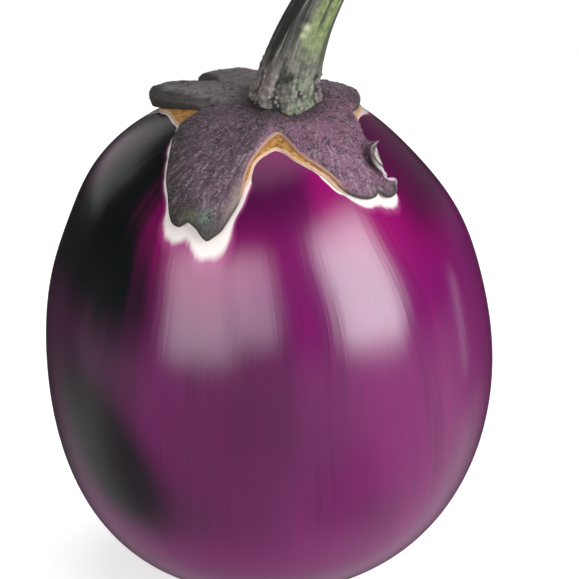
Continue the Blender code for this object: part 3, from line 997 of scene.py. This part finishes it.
def make_webs(material):
    """The corky webs between the lobes, laid on the skin and tucked under the cap."""
    shape, marks = marked_shape()
    for edge in web_edges():
        lay(shape, edge, web_top, web_under, marks)
    return finished("calyx_webs", shape, material)


def make_hairs(cap, material):
    """Short felt hairs, scattered over the cap's upper face and leaning down its slopes."""
    tree = Grower("felt hairs", {
        "Hairs per Square Metre": HAIRS_PER_SQUARE_METRE, "Shortest Hair": SHORTEST_HAIR,
        "Longest Hair": LONGEST_HAIR, "Hair Radius": HAIR_RADIUS, "Seed": HAIR_SEED,
    })
    given = tree.given
    _, _, inside = tree.parts(tree.attribute("layout"))
    upper = (1 - tree.attribute("under_face", "FLOAT")) * inside.maths("GREATER_THAN", HAIR_MARGIN)
    points, normal, _ = tree.scattered(upper, given["Hairs per Square Metre"])
    leans = {"Min": HAIR_LEANS[0], "Max": HAIR_LEANS[1], "Seed": given["Seed"]}
    lean = tree.add("FunctionNodeRandomValue", {"data_type": "FLOAT_VECTOR"}, leans)
    way = tree.vectors("ADD", tree.stretched(normal, (HAIR_UPRIGHT,) * 3), lean)
    turned = tree.add("FunctionNodeAlignRotationToVector", {"axis": "Z"}, {"Vector": way})
    length = tree.random(given["Shortest Hair"], given["Longest Hair"], given["Seed"])
    hair = tree.add("GeometryNodeMeshCone", {"fill_type": "NGON"}, {
        "Vertices": HAIR_SIDES, "Radius Top": 0.0, "Radius Bottom": 1.0, "Depth": 1.0,
    })
    grown = tree.planted(points, hair, turned, given["Hair Radius"], length)
    return tree.grown(grown, material, "calyx_hairs", cap.data)


def pale_width(flat):
    """How wide the pale band is by this place of the cap's edge."""
    polar, azimuth = off_sheet(flat)
    if abs(angle_between(azimuth, FRONT_WEB_AZIMUTH)) < FRONT_WEB_SPREAD and polar < FRONT_WEB_POLAR:
        return PALE_NONE
    if abs(angle_between(azimuth, CURL_AZIMUTH)) < CURL_SPREAD and polar > FRONT_WEB_POLAR:
        return PALE_NONE
    lobes = [(abs(angle_between(azimuth, math.radians(lobe))), *sizes) for lobe, *sizes in PALE_LOBES]
    _, tip, width, flank = min(lobes)
    tip = math.radians(tip)
    return flank + (width - flank) * smooth(tip - PALE_FLANK, tip - PALE_TIP, polar)


def mark_cap(fruit):
    """Stores on the skin how far it is from the cap's edge and how wide the pale band is there."""
    cap = cap_edge([(share, CURL_FOOT) for share, _ in CURLED_FLAP])
    edges = [cap] + web_edges()
    distances = [from_edge(edge) for edge in edges]
    places = [place for edge in edges for place in edge]
    widths = [pale_width(place) for place in places]
    tree = KDTree(len(places))
    for i, place in enumerate(places):
        tree.insert(place.to_3d(), i)
    tree.balance()
    kept = fruit.data.attributes
    kept.new("from_cap", "FLOAT", "POINT")
    kept.new("pale_band", "FLOAT", "POINT")
    for turn, mark, band in zip(kept["turn"].data, kept["from_cap"].data, kept["pale_band"].data):
        x, y, polar = turn.vector
        place = on_sheet(math.atan2(y, x), polar)
        mark.value = -max(distance(place) for distance in distances)
        near = tree.find_n(place.to_3d(), PALE_BLEND)
        weights = [1 / (away + PALE_LINE) ** 2 for _, _, away in near]
        band.value = sum(widths[i] * weight for (_, i, _), weight in zip(near, weights)) / sum(weights)


def make_fruit(material):
    """The fruit's skin, a grid that the skin's rule rounds into shape."""
    tree = Grower("eggplant skin", {
        "Rings": FRUIT_RINGS, "Sides": FRUIT_SIDES, "Equator Radius": EQUATOR_RADIUS,
        "Half Height": HALF_HEIGHT, "Rib Depth": RIB_DEPTH,
    })
    given = tree.given
    grid, turn_x, turn_y, polar = tree.wrapped_grid(math.pi, 0.0)
    azimuth = turn_y.maths("ARCTAN2", turn_x)
    sized = (given["Equator Radius"], given["Half Height"], given["Rib Depth"])
    closed = tree.rounded(grid, tree.vector(*skin_parts(polar, azimuth, *sized)), POLE_MERGE)
    values = {"Geometry": closed, "Translation": CENTRE, "Rotation": (FORWARD_LEAN, 0, 0)}
    standing = tree.add("GeometryNodeTransform", None, values)
    x, y, z = tree.parts(tree.add("GeometryNodeInputPosition"))
    flat = tree.vector(x, y, z.maths("MAXIMUM", 0.0))
    resting = tree.add("GeometryNodeSetPosition", None, {"Geometry": standing, "Position": flat})
    return tree.grown(tree.softened(resting), material, "fruit_skin", bpy.data.meshes.new("grid"))


def stem_grooves(tree, turned):
    """How the stem's long, uneven ridges and grooves run, as 0 to 1, from its turn and share."""
    return tree.noise(tree.stretched(turned, GROOVE_SCALES), 1.0, 3.0, 0.6)


def foot_lumps(tree, turned):
    """How bumpy the stem's foot is at a place, as 0 to 1, from its turn and share."""
    return tree.noise(tree.stretched(turned, FOOT_LUMP_SCALES), 1.0, 2.0, 0.55)


def stem_route():
    """The stem's smooth path in the table's frame, a curve that carries the stem's radius."""
    route = bpy.data.curves.new("stem route", "CURVE")
    route.dimensions = "3D"
    line = route.splines.new("POLY")
    line.points.add(STEM_STEPS)
    points = [Vector((*place, radius)) for place, radius in zip(STEM_PATH, STEM_RADII)]
    points = [points[0] * 2 - points[1], *points, points[-1] * 2 - points[-2]]
    base = skin(0, 0)
    spans = len(STEM_PATH) - 1
    for k, point in enumerate(line.points):
        along = k / STEM_STEPS * spans
        i = min(int(along), spans - 1)
        here = between(*points[i:i + 4], along - i)
        point.co = (*(TO_TABLE @ (base + here.xyz)), 1)
        point.radius = here.w
    return route


def stem_swell(tree, turn_x, turn_y, share, kept):
    """How far the stem's ribs, grooves and foot lumps swell its radius, and its ends close it."""
    given = tree.given
    turn = turn_y.maths("ARCTAN2", turn_x)
    turned = tree.attribute("turn")
    swell = 1 + given["Rib Depth"] * cosine(given["Ribs"] * (turn - given["Twist"] * kept))
    swell += (tree.smooth(*GROOVE_SHADES, stem_grooves(tree, turned)) - 1) * given["Groove Depth"]
    lumps = foot_lumps(tree, turned) - FOOT_LUMP_MIDDLE
    swell += lumps * given["Foot Lump Height"] * tree.smooth(FOOT_TOP, 0.0, share)
    return swell * (1 - (share - kept).maths("ABSOLUTE") / STEM_CLOSING)


def make_stem(material):
    """The stem, a grid rolled round its path, ribbed and slightly twisted, and closed at both ends."""
    tree = Grower("stem", {
        "Rings": STEM_RINGS, "Sides": STEM_SIDES, "Ribs": STEM_RIBS, "Rib Depth": STEM_RIB_DEPTH,
        "Twist": STEM_TWIST, "Groove Depth": GROOVE_DEPTH, "Foot Lump Height": FOOT_LUMP_HEIGHT,
    })
    grid, turn_x, turn_y, share = tree.wrapped_grid(-STEM_CLOSING, 1 + STEM_CLOSING)
    kept = share.maths("MINIMUM", 1.0).maths("MAXIMUM", 0.0)
    node = tree.node("GeometryNodeSampleCurve", {"mode": "FACTOR", "use_all_curves": True}, {
        "Curves": tree.given["Geometry"], "Value": tree.add("GeometryNodeInputRadius"), "Factor": kept,
    })
    radius, middle, ahead = (Field(tree, node.outputs[i]) for i in (0, 1, 2))
    right = tree.vectors("NORMALIZE", tree.vectors("CROSS_PRODUCT", (0, 1, 0), ahead))
    back = tree.vectors("CROSS_PRODUCT", ahead, right)
    reach = radius * stem_swell(tree, turn_x, turn_y, share, kept)
    place = tree.vectors("ADD", middle, tree.scaled(right, reach * turn_x))
    place = tree.vectors("ADD", place, tree.scaled(back, reach * turn_y))
    closed = tree.rounded(grid, place, STEM_MERGE)
    return tree.grown(tree.softened(closed), material, "stem_corky", stem_route())


def make_warts(stem, material):
    """Small flat warts of cork, scattered over the stem's foot."""
    tree = Grower("cork warts", {
        "Warts per Square Metre": WARTS_PER_SQUARE_METRE, "Smallest Wart": SMALLEST_WART,
        "Largest Wart": LARGEST_WART, "Wart Flatness": WART_FLATNESS, "Seed": WART_SEED,
    })
    given = tree.given
    _, _, share = tree.parts(tree.attribute("turn"))
    on_foot = share.maths("GREATER_THAN", WART_SHARES[0]) * share.maths("LESS_THAN", WART_SHARES[1])
    points, _, turned = tree.scattered(on_foot, given["Warts per Square Metre"])
    size = tree.random(given["Smallest Wart"], given["Largest Wart"], given["Seed"])
    wart = tree.add("GeometryNodeMeshIcoSphere", None, {"Radius": 1.0, "Subdivisions": 2})
    grown = tree.planted(points, wart, turned, size, size * given["Wart Flatness"])
    return tree.grown(tree.softened(grown), material, "stem_warts", stem.data)


class SkinFinish(Finish):
    """The skin's finish under construction, with what its zones are worked out from."""

    def __init__(self):
        super().__init__("eggplant skin")
        self.turn = self.attribute("turn")
        self.turn_x, self.turn_y, self.polar = self.parts(self.turn)
        self.from_cap = self.attribute("from_cap", "Fac")
        self.streaks = self.noise(self.stretched(self.turn, STREAK_SCALES), 1.0, 3.0, 0.6)
        self.fine = self.noise(self.stretched(self.turn, FINE_STREAK_SCALES), 1.0)
        self.ragged = (self.streaks - 0.5) * RAGGEDNESS
        # The nearly black left side, partly the skin's own dark and partly painted shade
        shoulder = self.smooth(*DARK_SHOULDER_POLARS, self.polar) * DARK_SHOULDER_SHIFT
        self.dark = self.toward(DARK_SIDE_AZIMUTH, DARK_SIDE_COSINES, self.ragged - shoulder)

    def toward(self, azimuth, cosines, ragged=0.0):
        """1 on the side of this azimuth and 0 away from it, with a streaky border."""
        return self.smooth(*cosines, self.facing(azimuth) + ragged)

    def patch(self, azimuth, cosines, polar, spread, ragged=0.0):
        """1 in the middle of a patch of the skin and 0 away from it."""
        return self.toward(azimuth, cosines, ragged) * bell(self.polar - polar, spread)

    def purples(self):
        """Streaked purples, with painted light on the brighter right side and a painted dark reflection that
        dulls the front.
        """
        broad = self.noise(self.stretched(self.turn, BROAD_PATCH_SCALES), 1.0)
        side = self.toward(PURPLE_SIDE_AZIMUTH, PURPLE_SIDE_COSINES, self.ragged * 0.5)
        side = side * self.smooth(*PURPLE_SIDE_UPPER_POLARS, self.polar)
        side = side * self.smooth(*PURPLE_SIDE_LOWER_POLARS, self.polar)
        return self.painted(
            PURPLE_DULL,
            (self.smooth(0.3, 0.7, broad), PURPLE),
            (side, PURPLE_BRIGHT),
            (self.patch(*FRONT_SHADE, self.ragged * 0.4) * 0.8, PURPLE_DULL),
            (self.smooth(0.52, 0.8, self.streaks) * 0.4, MAGENTA),
            (self.smooth(0.48, 0.28, self.streaks) * 0.35, PURPLE_DEEP),
            (self.smooth(0.45, 0.75, self.fine) * 0.12, MAGENTA),
        )

    def by_cap(self, colour):
        """Magenta by the cap, with deep purple painted shade under the front notch and at the rear, and a
        painted dark reflection in a band down the front.
        """
        notch = self.patch(*NOTCH_SHADE, self.ragged * 0.2)
        glow = self.smooth(*GLOW_FROM_CAP, self.from_cap + (self.streaks - 0.5) * GLOW_RAGGEDNESS)
        rear = self.toward(REAR_SHADE_AZIMUTH, REAR_SHADE_COSINES)
        rear = rear * self.smooth(*REAR_SHADE_POLARS, self.polar)
        return self.painted(
            colour,
            (glow * (1 - notch * 0.9), MAGENTA),
            (notch * 0.7, PURPLE_DEEP),
            (self.patch(*FRONT_DARK_REFLECTION, self.ragged * 0.02) * 0.5, PURPLE_DEEP),
            (rear * 0.85, PURPLE_DEEP),
        )

    def dark_side(self, colour):
        """Nearly black on the left, partly the skin's own dark and partly painted shade, with a purple grey
        tint lower down and high behind.
        """
        tint = self.smooth(*LEFT_TINT_POLARS, self.polar + (self.streaks - 0.5) * 0.2)
        tint += self.patch(*UPPER_TINT)
        return self.mixed(self.dark, colour, self.mixed(tint, NEAR_BLACK, PURPLE_GREY))

    def low_end(self, colour):
        """Purple round the lower end, with a painted reflection of the floor's shadow, a dark patch that
        slants across it at the left.
        """
        aside = self.turn_y * math.cos(LOW_DARK_AZIMUTH) - self.turn_x * math.sin(LOW_DARK_AZIMUTH)
        down = self.polar - LOW_DARK_POLAR
        slant_x = math.cos(LOW_DARK_SLANT)
        slant_y = math.sin(LOW_DARK_SLANT)
        along = (aside * slant_x + down * slant_y) / LOW_DARK_SIZES[0]
        across = (down * slant_x - aside * slant_y) / LOW_DARK_SIZES[1]
        floor_shadow_reflection = (-(along * along + across * across)).maths("EXPONENT")
        floor_shadow_reflection = floor_shadow_reflection * self.toward(LOW_DARK_AZIMUTH, LOW_DARK_COSINES)
        return self.painted(
            colour,
            (self.smooth(*LOW_PURPLE_POLARS, self.polar) * 0.8, PURPLE),
            (self.smooth(0.15, 0.75, floor_shadow_reflection + self.ragged * 0.3) * 0.9, NEAR_BLACK),
        )

    def pale_band(self, colour):
        """The cream band along the cap's edge, and the pink that it fades into."""
        band = self.attribute("pale_band", "Fac") * (0.92 + (self.streaks - 0.5) * 0.55)
        share = self.from_cap / band
        return self.painted(
            colour,
            (self.smooth(2.1, 0.9, share) * (1 - self.dark * 0.7) * 0.85, PINK),
            (self.smooth(1.3, 0.7, share), CREAM),
        )


def skin_finish():
    """Glossy skin: magenta by the cap, purple lower down, nearly black on its left side, with painted light
    and shade.
    """
    tree = SkinFinish()
    colour = tree.dark_side(tree.by_cap(tree.purples()))
    colour = tree.pale_band(tree.low_end(colour))
    scar = tree.smooth(*SCAR_POLARS, tree.polar + (tree.fine - 0.5) * 0.05)
    colour = tree.mixed(scar, colour, SCAR_TAN)
    relief = tree.bump(tree.streaks, STREAK_RELIEF, 0.5)
    relief = tree.bump(tree.fine, FINE_STREAK_RELIEF, 0.5, relief)
    roughness = 0.13 + 0.08 * tree.fine + 0.5 * scar
    return tree.done({"Base Color": colour, "Roughness": roughness, "IOR": SKIN_IOR, "Normal": relief})


class CapFinish(Finish):
    """The cap's finish under construction, with what its zones are worked out from."""

    def __init__(self):
        super().__init__("felted cap")
        self.x, self.y, self.inside = self.parts(self.attribute("layout"))
        reach = (self.x * self.x + self.y * self.y).maths("SQRT")
        self.turn_x = self.x / reach
        self.turn_y = self.y / reach
        self.polar = reach / SHEET_SCALE
        around = self.vector(self.turn_x, self.turn_y, self.polar * FIBRE_LENGTHS)
        self.blotches = self.noise(self.place(), BLOTCH_SCALE)
        self.mottle = self.noise(self.place(), MOTTLE_SCALE, 3.0, 0.62)
        self.fibres = self.noise(around, FIBRE_SCALE, 3.0, 0.62)

    def near(self, azimuth, polar, size):
        """1 at a place on the cap, falling away over this size."""
        spot = on_sheet(math.radians(azimuth), math.radians(polar))
        across = self.x - spot.x
        along = self.y - spot.y
        return (-(across * across + along * along) / (size * size)).maths("EXPONENT")

    def within(self, edges):
        """1 near the cap's edge and 0 far inside it."""
        return self.smooth(*edges, self.inside)

    def felt(self):
        """Mottled felt, plum at the front right and grey with dark edges at the back."""
        back = self.smooth(0.1, 0.7, self.facing(STRAIGHT_BACK))
        back_edge = self.smooth(*BACK_EDGE, self.inside + (self.blotches - 0.5) * 0.003)
        middle = self.painted(
            FELT_PURPLE,
            (self.smooth(0.2, 0.75, self.facing(FRONT_RIGHT)) * 0.75, FELT_PLUM),
            (back, FELT_GREY),
        )
        shade = self.mottle * 0.6 + self.blotches * 0.4 + back * 0.03
        pale = self.fibres * 0.5 + self.mottle * 0.5
        return self.painted(
            FELT_DARK,
            (self.smooth(0.37, 0.53, shade), middle),
            (self.smooth(0.50, 0.64, pale) * 0.75, FELT_PALE),
            (back * back_edge * 0.85, FELT_BLACK),
            (back * self.smooth(0.58, 0.68, self.blotches) * 0.25, FELT_OLIVE),
        )

    def stained_and_shaded(self, colour):
        """Painted shade round the stem's foot, darker along the left edge and at the tips, with green and
        cream stains.
        """
        foot = self.smooth(*FOOT_SHADE_POLARS, self.polar + (self.mottle - 0.5) * 0.1)
        streaked = self.smooth(0.42, 0.58, self.fibres)
        left_edge = self.within(LEFT_EDGE) * self.smooth(0.75, 0.93, self.facing(FRONT_LEFT_EDGE))
        tips = self.smooth(*TIP_POLARS, self.polar) * self.within(TIP_EDGE)
        return self.painted(
            colour,
            (foot * 0.75, FELT_BLACK),
            (left_edge * (1 - streaked * 0.5) * 0.9, FELT_BLACK),
            (tips * (1 - self.mottle * 0.6), FELT_BLACK),
            (self.near(*GREEN_TIP) * self.smooth(0.35, 0.6, self.mottle), FELT_GREEN),
            (self.near(*OLIVE_TIP) * 0.5, FELT_OLIVE),
            (self.near(*DARK_CORNER) * 0.75, FELT_BLACK),
            (self.near(*CREAM_FLANK) * self.within(CREAM_EDGE) * 0.75, FELT_CREAM),
        )

    def rimmed(self, colour):
        """A thin dark rim, which is peach along the front notch."""
        front = self.smooth(0.62, 0.8, self.facing(NOTCH_MIDDLE)) * self.smooth(*PEACH_POLARS, self.polar)
        return self.mixed(self.within(CAP_RIM) * 0.7, colour, self.mixed(front, FELT_BLACK, RIM_PEACH))

    def curled_flap(self, colour):
        """The pale underside of the curled flap, with a white streak, painted shade in its fold and a
        painted lilac highlight along its rim.
        """
        under = self.attribute("under_face", "Fac")
        flap = self.smooth(0.25, 0.6, self.near(*FLAP_MIDDLE))
        pale = self.painted(
            FLAP_GREEN,
            (bell(self.inside - FLAP_STREAK, FLAP_STREAK_WIDTH), FLAP_WHITE),
            (self.smooth(0.5, 0.36, self.mottle) * 0.6, FELT_DARK),
            (self.smooth(*FLAP_INSIDE, self.inside), FELT_PLUM),
            (bell(self.inside - FLAP_SHADE_LINE, FLAP_SHADE_WIDTH) * 0.85, FELT_BLACK),
        )
        return self.painted(
            colour,
            (self.smooth(0.3, 0.7, under) * flap, pale),
            (self.within(FLAP_HIGHLIGHT_RIM) * flap, FLAP_HIGHLIGHT_LILAC),
        )


def cap_finish():
    """Felted, leathery cap: mottled purple and grey, with dark tips and a curled flap that is pale below."""
    tree = CapFinish()
    colour = tree.curled_flap(tree.rimmed(tree.stained_and_shaded(tree.felt())))
    relief = tree.bump(tree.fibres, FIBRE_RELIEF, 0.5)
    relief = tree.bump(tree.mottle, MOTTLE_RELIEF, 0.6, relief)
    roughness = 0.62 + 0.25 * tree.mottle
    return tree.done({"Base Color": colour, "Roughness": roughness, "Normal": relief})


def hair_finish():
    """Pale, dusty felt hairs."""
    tree = Finish("felt hairs")
    shade = tree.noise(tree.place(), HAIR_SHADE_SCALE, 2.0, 0.6)
    colour = tree.mixed(tree.smooth(0.35, 0.65, shade), HAIR_PURPLE, HAIR_PALE)
    return tree.done({"Base Color": colour, "Roughness": 0.7 + 0.2 * shade})


def web_finish():
    """Corky web: brown, orange and ochre, paler on the right side and along its edge."""
    tree = Finish("corky web")
    x, _, inside = tree.parts(tree.attribute("layout"))
    lumps = tree.noise(tree.place(), WEB_LUMP_SCALE, 3.0, 0.6)
    colour = tree.painted(
        WEB_BROWN,
        (tree.smooth(0.3, 0.5, lumps), WEB_ORANGE),
        (tree.smooth(0.5, 0.68, lumps), WEB_OCHRE),
        (tree.smooth(*WEB_PALE_SIDE, x) * 0.8, WEB_CREAM),
        (tree.smooth(*WEB_EDGE, inside + (lumps - 0.5) * 0.0008), WEB_CREAM),
    )
    relief = tree.bump(lumps, WEB_LUMP_RELIEF, 0.7)
    return tree.done({"Base Color": colour, "Roughness": 0.7 + 0.15 * lumps, "Normal": relief})


class StemFinish(Finish):
    """The stem's finish under construction, with what its zones are worked out from."""

    def __init__(self):
        super().__init__("corky stem")
        self.turn = self.attribute("turn")
        self.turn_x, self.turn_y, self.share = self.parts(self.turn)
        self.mottle = self.noise(self.place(), STEM_MOTTLE_SCALE, 3.0, 0.65)
        self.streaks = self.noise(self.stretched(self.turn, STEM_STREAK_SCALES), 1.0, 3.0, 0.6)

    def bark(self):
        """Streaky bark: painted shade on the left, grey in the middle, green at the right, and dark green
        painted shade behind.
        """
        ragged = self.streaks - 0.5
        green = self.smooth(0.72, 0.93, self.facing(STEM_GREEN_SIDE) + ragged * 0.4)
        green_shade = self.mixed(self.smooth(0.35, 0.65, self.mottle), STEM_GREEN, STEM_YELLOW)
        dark = self.smooth(0.30, 0.75, self.facing(STEM_DARK_SIDE) + ragged * 0.6)
        rear = self.smooth(0.66, 0.92, self.facing(STEM_SHADED_SIDE) + ragged * 0.4)
        return self.painted(
            BARK_BROWN,
            (self.smooth(0.35, 0.65, self.streaks * 0.6 + self.mottle * 0.4), BARK_GREY),
            (green * self.smooth(*STEM_GREEN_SHARES, self.share), green_shade),
            (dark * self.smooth(0.70, 0.50, self.streaks), PAINTED_SHADE_BLACK),
            (rear * 0.8, STEM_SHADE_GREEN),
        )

    def foot(self):
        """The bumpy foot's mottled pink and green, with black painted shade between the bumps."""
        return self.painted(
            FOOT_PINK,
            (self.smooth(0.7, 0.95, self.facing(STEM_GREEN_SIDE)), FOOT_GREEN),
            (self.smooth(0.52, 0.40, self.mottle) * 0.8, BARK_BROWN),
            (self.smooth(0.56, 0.66, self.mottle) * 0.7, FOOT_PALE),
            (self.smooth(0.52, 0.40, foot_lumps(self, self.turn)), PAINTED_SHADE_BLACK),
        )

    def spotted(self, colour):
        """Small dark and pale spots, each in its own place."""
        for azimuth, share, size, shade in STEM_SPOTS:
            away = (self.facing(azimuth) - 1) * 2 / (size * size)
            away -= ((self.share - share) * SPOT_REACH / size).maths("POWER", 2.0)
            colour = self.mixed(away.maths("EXPONENT") * 0.9, colour, shade)
        return colour

    def cut_end(self):
        """The cut end's faint rings of tan and pith."""
        rings = ((self.share - 1) * CUT_RINGS).maths("SINE") * 0.5 + 0.5
        return self.mixed(rings * 0.35 + self.mottle * 0.4, CUT_TAN, CUT_PITH)


def stem_finish():
    """Corky stem with black painted shade in its grooves, a mottled foot and a pale cut end."""
    tree = StemFinish()
    grooves = stem_grooves(tree, tree.turn)
    colour = tree.painted(
        tree.bark(),
        (tree.smooth(*FOOT_SHARES, tree.share + (tree.mottle - 0.5) * 0.2), tree.foot()),
        (tree.smooth(0.46, 0.34, grooves) * 0.85, PAINTED_SHADE_BLACK),
    )
    colour = tree.mixed(tree.smooth(*CUT_SHARES, tree.share), tree.spotted(colour), tree.cut_end())
    relief = tree.bump(tree.streaks, STEM_STREAK_RELIEF, 0.6)
    relief = tree.bump(tree.mottle, STEM_MOTTLE_RELIEF, 0.6, relief)
    return tree.done({"Base Color": colour, "Roughness": 0.68 + 0.25 * tree.mottle, "Normal": relief})


def wart_finish():
    """Pale cork warts, some pinkish and some green-grey."""
    tree = Finish("cork warts")
    shade = tree.noise(tree.place(), WART_SHADE_SCALE, 2.0, 0.6)
    colour = tree.mixed(tree.smooth(0.4, 0.6, shade), FOOT_PINK, WART_PALE)
    relief = tree.bump(shade, WART_RELIEF, 0.5)
    return tree.done({"Base Color": colour, "Roughness": 0.65 + 0.2 * shade, "Normal": relief})


def make_floor():
    """A pale round of floor, so brightly lit that it merges with the white behind it."""
    mesh = bpy.data.meshes.new("floor")
    shape = bmesh.new()
    bmesh.ops.create_circle(shape, cap_ends=True, segments=FLOOR_SIDES, radius=FLOOR_RADIUS)
    shape.to_mesh(mesh)
    shape.free()
    tree = Finish("pale floor")
    glow = {"Emission Color": (1, 1, 1, 1), "Emission Strength": FLOOR_GLOW}
    mesh.materials.append(tree.done({"Base Color": FLOOR_COLOUR, "Roughness": 0.9, "IOR": 1.2, **glow}))
    floor = added("floor", mesh)
    floor.visible_glossy = False


def make_softbox(name, turn, distance, edges, width, glow):
    """A studio light beside the fruit."""
    lowest, highest = edges
    place = Vector((distance * math.sin(turn), -distance * math.cos(turn), (lowest + highest) / 2))
    make_lamp(name, place, width, highest - lowest, glow)


def make_lamp(name, place, width, height, glow):
    """A rectangular light that faces the fruit, with soft edges."""
    lamp = bpy.data.lights.new(name, "AREA")
    lamp.shape = "RECTANGLE"
    lamp.size = width
    lamp.size_y = height
    lamp.energy = glow * math.pi * width * height
    lamp.use_nodes = True
    tree = Tree(lamp.node_tree)
    across, up, _ = tree.parts(tree.add("ShaderNodeNewGeometry", None, (), "Parametric"))
    soft = 1.0
    for share in (across, 1 - across, up, 1 - up):
        soft = tree.smooth(0.0, SOFTBOX_EDGE, share) * soft
    shine = tree.add("ShaderNodeEmission", None, {"Strength": soft})
    tree.node("ShaderNodeOutputLight", None, (shine,))
    light = added(name, lamp)
    light.location = place
    light.rotation_euler = (CENTRE - place).to_track_quat("-Z", "Y").to_euler()
    return light


def room_glow(tree):
    """How bright the room is, the way that a reflection goes."""
    way = tree.add("ShaderNodeTexCoord", None, (), "Generated")
    right, back, up = tree.parts(way)
    below = tree.smooth(*BELOW_UPWARDS, up) * tree.smooth(*BELOW_BACKWARDS, back)
    below = below * (tree.smooth(*BELOW_RIGHTWARDS, right) * ROOM_BELOW_RIGHT + ROOM_BELOW)
    horizon = tree.smooth(*HORIZON_BACKWARDS, back) * tree.smooth(*HORIZON_UPWARDS, up)
    below = below * (1 - horizon * HORIZON_SHADE)
    for shadow, reach, depth in ROOM_SHADOWS:
        away = tree.add("ShaderNodeVectorMath", {"operation": "DISTANCE"}, (way, shadow), "Value")
        below = below * (1 - tree.smooth(*SHADOW_EDGES, away / reach) * depth)
    above = tree.smooth(*ABOVE_UPWARDS, up) * ROOM_ABOVE
    behind = tree.smooth(*BEHIND_BACKWARDS, back) * tree.smooth(*BEHIND_LOWEST, up)
    behind = behind * tree.smooth(*BEHIND_HIGHEST, up) * ROOM_BEHIND
    return below + above + behind + ROOM_DIM


def make_room():
    """A white backdrop for the camera, and a dim room for everything else."""
    world = bpy.data.worlds.new("studio")
    bpy.context.scene.world = world
    world.use_nodes = True
    tree = Tree(world.node_tree)
    seen = tree.add("ShaderNodeLightPath", None, (), "Is Camera Ray")
    backdrop = tree.add("ShaderNodeBackground", None, ((1, 1, 1, 1), 1.0))
    room = tree.add("ShaderNodeBackground", None, {"Strength": room_glow(tree)})
    either = tree.add("ShaderNodeMixShader", None, (seen, room, backdrop))
    tree.node("ShaderNodeOutputWorld", None, {"Surface": either})


def make_lights():
    """Soft light from all sides and from above."""
    for softbox in SOFTBOXES:
        make_softbox(*softbox)
    overhead = make_lamp("overhead softbox", OVERHEAD_PLACE, OVERHEAD_SIZE, OVERHEAD_SIZE, OVERHEAD_GLOW)
    overhead.visible_glossy = False


def make_camera():
    """The camera, turned so that the middle of the fruit falls on its pixel in the picture."""
    ahead = Vector((0, math.cos(CAMERA_ELEVATION), -math.sin(CAMERA_ELEVATION)))
    lens = bpy.data.cameras.new("camera")
    lens.sensor_width = SENSOR
    lens.lens = FOCAL_PIXELS / PHOTO_SIZE * SENSOR
    lens.clip_start = CLIP_START
    camera = added("camera", lens)
    camera.location = CENTRE - ahead * CAMERA_DISTANCE
    level = Euler((math.pi / 2 - CAMERA_ELEVATION, 0, 0)).to_quaternion()
    aside = PHOTO_SIZE / 2 - PHOTO_CENTRE[0]
    above = PHOTO_CENTRE[1] - PHOTO_SIZE / 2
    turned = Vector((0, 0, -1)).rotation_difference(Vector((aside, above, -FOCAL_PIXELS)))
    camera.rotation_euler = (level @ turned).to_euler()
    bpy.context.scene.camera = camera


def main():
    """Builds the eggplant round its frame, then its studio."""
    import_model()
    bpy.context.scene.view_settings.view_transform = "Standard"
    fruit = make_fruit(skin_finish())
    mark_cap(fruit)
    webs = make_webs(web_finish())
    cap = make_cap(cap_finish())
    hairs = make_hairs(cap, hair_finish())
    stem = make_stem(stem_finish())
    warts = make_warts(stem, wart_finish())
    for piece, node in ((fruit, "fruit"), (cap, "calyx"), (stem, "stem")):
        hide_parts(node)
    for slot, pieces in (("skin", (fruit,)), ("calyx", (cap, webs, hairs)), ("stem", (stem, warts))):
        for piece in pieces:
            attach(piece, "root")
    make_floor()
    make_room()
    make_lights()
    make_camera()


main()
